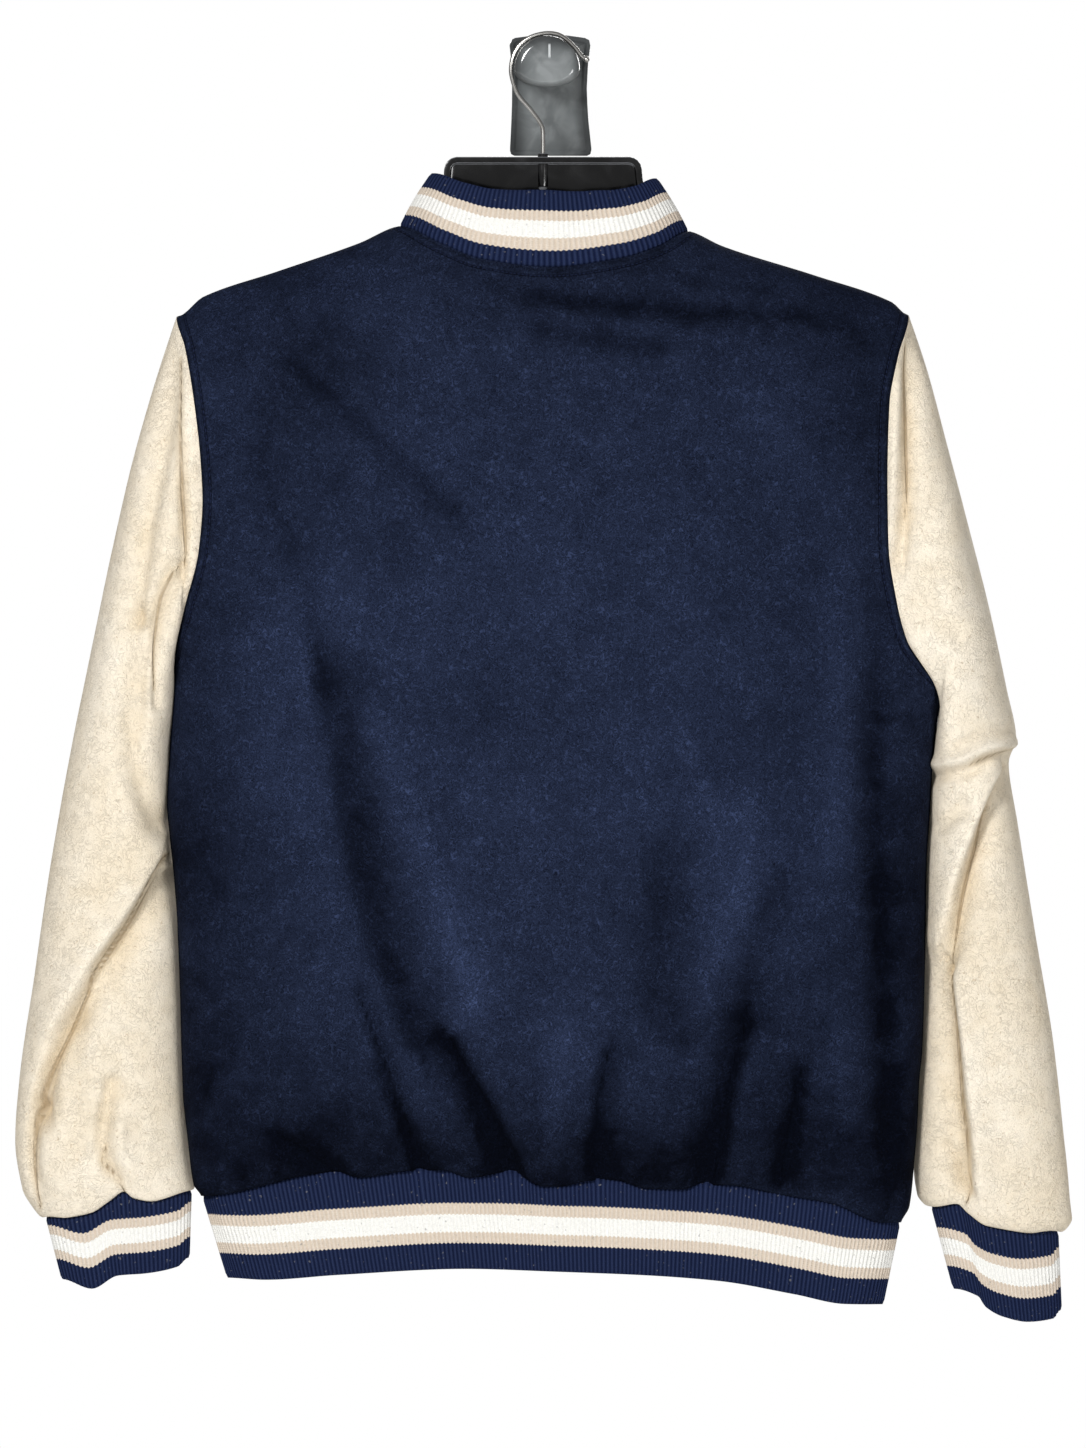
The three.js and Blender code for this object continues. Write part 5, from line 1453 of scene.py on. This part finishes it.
def hanger_half(sign):
    """Stations of one half of the hanger, from its neck to the tip of its arm."""
    lower = curve(ARM_LOWER)
    arm = [(x, float(lower(x)), float(shoulder_line(sign * x)) - ARM_DROP) for x in ARM_STATIONS]
    end, _, top = arm[-1]
    tip = [(end + beyond, top + low, top + high) for beyond, low, high in ARM_TIP]
    return [(sign * x, low, high) for x, low, high in HANGER_NECK + arm + tip]


def hanger_bar():
    """The hanger's neck and arms, hollowed at the front and the back."""
    half_neck, low, high = HANGER_NECK[0]
    front, behind = MIDDLE - HANGER_HALF, MIDDLE + HANGER_HALF
    bar = open_box("hanger_shape", (-half_neck, front, low), (half_neck, behind, high))
    for sign in (1, -1):
        pick_faces(bar, SIDEWAYS, sign, half_neck - 1)
        extrude_through(hanger_half(sign), SIDEWAYS)
    for facing in (-1, 1):
        sink_panel(bar, facing, HANGER_RIM, HANGER_WALL, HANGER_SINK)
    close_shape(bar, HANGER_BEVEL)
    return bar


def hanger_boss():
    """The boss inside the hanger's neck that the wire is set in."""
    middle = (0, MIDDLE, HANGER_TOP - BOSS_SINK - BOSS_HEIGHT / 2)
    boss = open_cylinder("boss", 32, BOSS_RADIUS, BOSS_HEIGHT, middle)
    pick_faces(boss, UPRIGHT, -1)
    round_rim(BOSS_ROUND, 6)
    close_shape(boss)
    return boss


def wire_collar():
    """The small raised ring round the wire, on top of the hanger."""
    middle = (0, MIDDLE, HANGER_TOP)
    collar = open_cylinder("collar", 32, COLLAR_RADIUS, 2 * COLLAR_HALF, middle)
    pick_faces(collar, UPRIGHT, 1)
    inset(*COLLAR_STEP)
    close_shape(collar)
    return collar


def add_hanger():
    body = join_shapes(hanger_bar(), hanger_boss(), wire_collar())
    finish_piece(body, hanger_plastic(), "hanger_plastic", "hanger_body")


WIRE_RADIUS = 1.45
WIRE_ROUTE = [
    (0, -41.2), (0, -31), (-1, -22), (-8.5, -11), (-17, -1), (-20.8, 9), (-21.8, 17), (-20, 26),
    (-15.3, 33.3), (-8.8, 37.9), (-1.3, 40.3), (5.1, 40.8), (11.2, 39.6), (17, 35.8), (22.1, 30.6),
    (26, 25.6), (28.4, 23.8),
]
WIRE_TIP = [(0.3, 1.3), (0.6, 1.15), (0.8, 1.03), (0.8, 0.9), (0.6, 0.72), (0.4, 0.5)]
TURN = -1


def add_wire():
    """The wire hook, a disc extruded along its route and closed with a rounded tip."""
    route = np.insert(smooth_line(WIRE_ROUTE, 4), 1, MIDDLE, axis=1)
    wire = open_shape(
        bpy.ops.mesh.primitive_circle_add, "hook_wire", vertices=14, radius=WIRE_RADIUS * MM,
        fill_type="NGON", location=route[0] * MM)
    bpy.ops.mesh.select_all(action="SELECT")
    turned = 0
    for k in range(1, len(route)):
        ahead = route[min(k + 1, len(route) - 1)] - route[k - 1]
        angle = atan2(ahead[0], ahead[2])
        extrude_by(route[k] - route[k - 1])
        bpy.ops.transform.rotate(
            value=TURN * (angle - turned), orient_axis="Y", center_override=route[k] * MM)
        turned = angle
    way = np.array([sin(turned), 0, cos(turned)])
    centre = route[-1]
    for step, growth in WIRE_TIP:
        centre = centre + way * step
        extrude_by(way * step)
        bpy.ops.transform.resize(value=(growth, growth, growth), center_override=centre * MM)
    close_shape(wire)
    metal = bright_metal("hook_metal", srgb(200, 198, 194), 0.24)
    finish_piece(wire, metal, "hook_wire", "hanger_hook")


PLATE_THICK = 7
PLATE_RIM = 2.4
PLATE_WALL = 1.6
PLATE_SINK = 1.4
PLATE_BEVEL = 1.2
PLATE_LOWER = [(-38, -22.5, 33), (-40.3, -21.8, 32.3), (-41.5, -19.5, 30)]
PLATE_UPPER = [
    (-36.5, -22.5, 33), (-27, -22, 32), (-18, -21.6, 31), (-7, -21.2, 30.3), (4, -21.1, 29.9),
    (13, -21.3, 30.3), (22, -21.6, 30.8), (28, -22.2, 31.6), (33.5, -22.8, 32.3),
    (37.3, -22, 31.5), (38.8, -19, 28.5), (40.4, -7, 17), (40.9, 0, 10),
]
SADDLE_RADIUS = 22.3
SADDLE_CENTRE = (2.6, 16.8)
SADDLE_FOOT = 5
SADDLE_END = -57
SADDLE_ROUND = 6
SLOT_LOW = (3.6, SADDLE_END - 0.6, 25.5)
SLOT_HIGH = (5.2, SADDLE_END + 1, 34)
SLOT_STEP = (0.3, 0.2)
QUARTER_TURN = (pi / 2, 0, 0)


def plate_shape():
    """The wall plate, extruded up and down through its outline, with a sunk face."""
    (bottom, left, right), (top, *_) = PLATE_LOWER[0], PLATE_UPPER[0]
    plate = open_box("plate_shape", (left, -PLATE_THICK, bottom), (right, 0, top))
    pick_faces(plate, UPRIGHT, 1)
    extrude_through(PLATE_UPPER, UPRIGHT)
    pick_faces(plate, UPRIGHT, -1, -bottom - 0.5)
    extrude_through(PLATE_LOWER, UPRIGHT)
    sink_panel(plate, -1, PLATE_RIM, PLATE_WALL, PLATE_SINK)
    close_shape(plate, PLATE_BEVEL)
    return plate


def flatten_below(piece, height, share):
    """Squeezes the points below a height, in millimetres, towards it."""
    bpy.ops.mesh.select_mode(type="VERT")
    mesh = bmesh.from_edit_mesh(piece.data)
    for point in mesh.verts:
        point.select_set(point.co.z < height * MM)
    mesh.select_flush(True)
    bmesh.update_edit_mesh(piece.data)
    bpy.ops.transform.resize(value=(1, 1, share), center_override=(0, 0, height * MM))


def saddle_shape():
    """The round pad that the wire hangs on, flatter below its middle."""
    x, z = SADDLE_CENTRE
    root = -PLATE_THICK / 2
    middle = (x, (SADDLE_END + root) / 2, z)
    saddle = open_cylinder(
        "saddle", 72, SADDLE_RADIUS, root - SADDLE_END, middle, rotation=QUARTER_TURN)
    pick_faces(saddle, DEPTHWISE, -1)
    round_rim(SADDLE_ROUND, 9)
    flatten_below(saddle, z, (z - SADDLE_FOOT) / SADDLE_RADIUS)
    close_shape(saddle)
    return saddle


def slot_shape():
    """The small upright slot in the saddle's face."""
    slot = open_box("slot", SLOT_LOW, SLOT_HIGH)
    pick_faces(slot, DEPTHWISE, -1)
    inset(*SLOT_STEP)
    close_shape(slot)
    return slot


def add_plate():
    plate = join_shapes(plate_shape(), saddle_shape(), slot_shape())
    finish_piece(plate, plate_plastic(), "plate_plastic", "wall_plate")


SNAP_COUNT = 7
SNAP_METAL = bright_metal("snap_metal", srgb(206, 204, 200), 0.22)
SNAP_ROUND = 1.4
SNAP_FACE = 0.99
SNAP_DISH = [(0.9, -0.5), (2, 0.3)]


def add_snap(node):
    """A dished press-snap cap, thickest inside its rolled rim."""
    low, high = (np.array(corner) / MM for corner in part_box(node))
    radius, depth = (high[0] - low[0]) / 2, high[1] - low[1]
    middle = (low + high) / 2
    cap = open_cylinder(f"{node}_cap", 40, radius, depth, middle, rotation=QUARTER_TURN)
    pick_faces(cap, DEPTHWISE, 1)
    round_rim(SNAP_ROUND, 5)
    pick_faces(cap, DEPTHWISE, 1, square=SNAP_FACE)
    for width, rise in SNAP_DISH:
        inset(width, rise)
    close_shape(cap)
    finish_piece(cap, SNAP_METAL, "snap_metal", node)


add_hanger()
add_wire()
add_plate()
for snap in range(1, SNAP_COUNT + 1):
    add_snap(f"snap_{snap}")

# Camera, lights and floor

CAMERA_DISTANCE = 16.0
VIEW_HEIGHT = 0.9846
VIEW_MIDDLE = Vector((0, 0, -0.429))
SENSOR = 36


def add_camera():
    data = bpy.data.cameras.new("camera")
    data.sensor_width = SENSOR
    data.lens = SENSOR * CAMERA_DISTANCE / VIEW_HEIGHT
    camera = bpy.data.objects.new("camera", data)
    camera.location = VIEW_MIDDLE + Vector((0, MIDDLE * MM - CAMERA_DISTANCE, 0))
    camera.rotation_euler = (pi / 2, 0, 0)
    bpy.context.scene.collection.objects.link(camera)
    bpy.context.scene.camera = camera


def add_light(name, place_at, size, watts):
    """A square soft light that faces the jacket."""
    data = bpy.data.lights.new(name, "AREA")
    data.size = size
    data.energy = watts
    light = bpy.data.objects.new(name, data)
    light.location = place_at
    light.rotation_euler = (VIEW_MIDDLE - light.location).to_track_quat("-Z", "Y").to_euler()
    bpy.context.scene.collection.objects.link(light)


FLOOR_HEIGHT = -1.4
FLOOR_SIZE = 12
AMBIENT = 0.22


def add_floor():
    bpy.ops.mesh.primitive_plane_add(size=FLOOR_SIZE, location=(0, 0, FLOOR_HEIGHT))
    floor = bpy.context.object
    floor.name = "floor"
    material, tree, shader = new_material("pale_floor", Roughness=0.9)
    mottle = noise(place(tree), 3, 3)
    feed(blend(mottle, srgb(236, 236, 234), srgb(246, 246, 245)), shader["Base Color"])
    floor.data.materials.append(material)


def light_the_room():
    world = bpy.data.worlds.new("studio")
    world.use_nodes = True
    tree = world.node_tree
    seen = add_node(tree, "ShaderNodeLightPath").outputs["Is Camera Ray"]
    background = tree.nodes["Background"]
    background.inputs["Color"].default_value = WHITE
    feed(times_plus(seen, 1 - AMBIENT, AMBIENT), background.inputs["Strength"])
    bpy.context.scene.world = world
    bpy.context.scene.view_settings.view_transform = "Standard"
    add_light("key_light", (-1.5, -3.6, 1.1), 0.9, 112)
    add_light("fill_light", (1.9, -3.4, -1.2), 1.6, 70)
    add_light("wall_side_light", (0.9, 3.4, 0.9), 2.0, 90)


bpy.ops.object.select_all(action="DESELECT")
add_camera()
light_the_room()
add_floor()
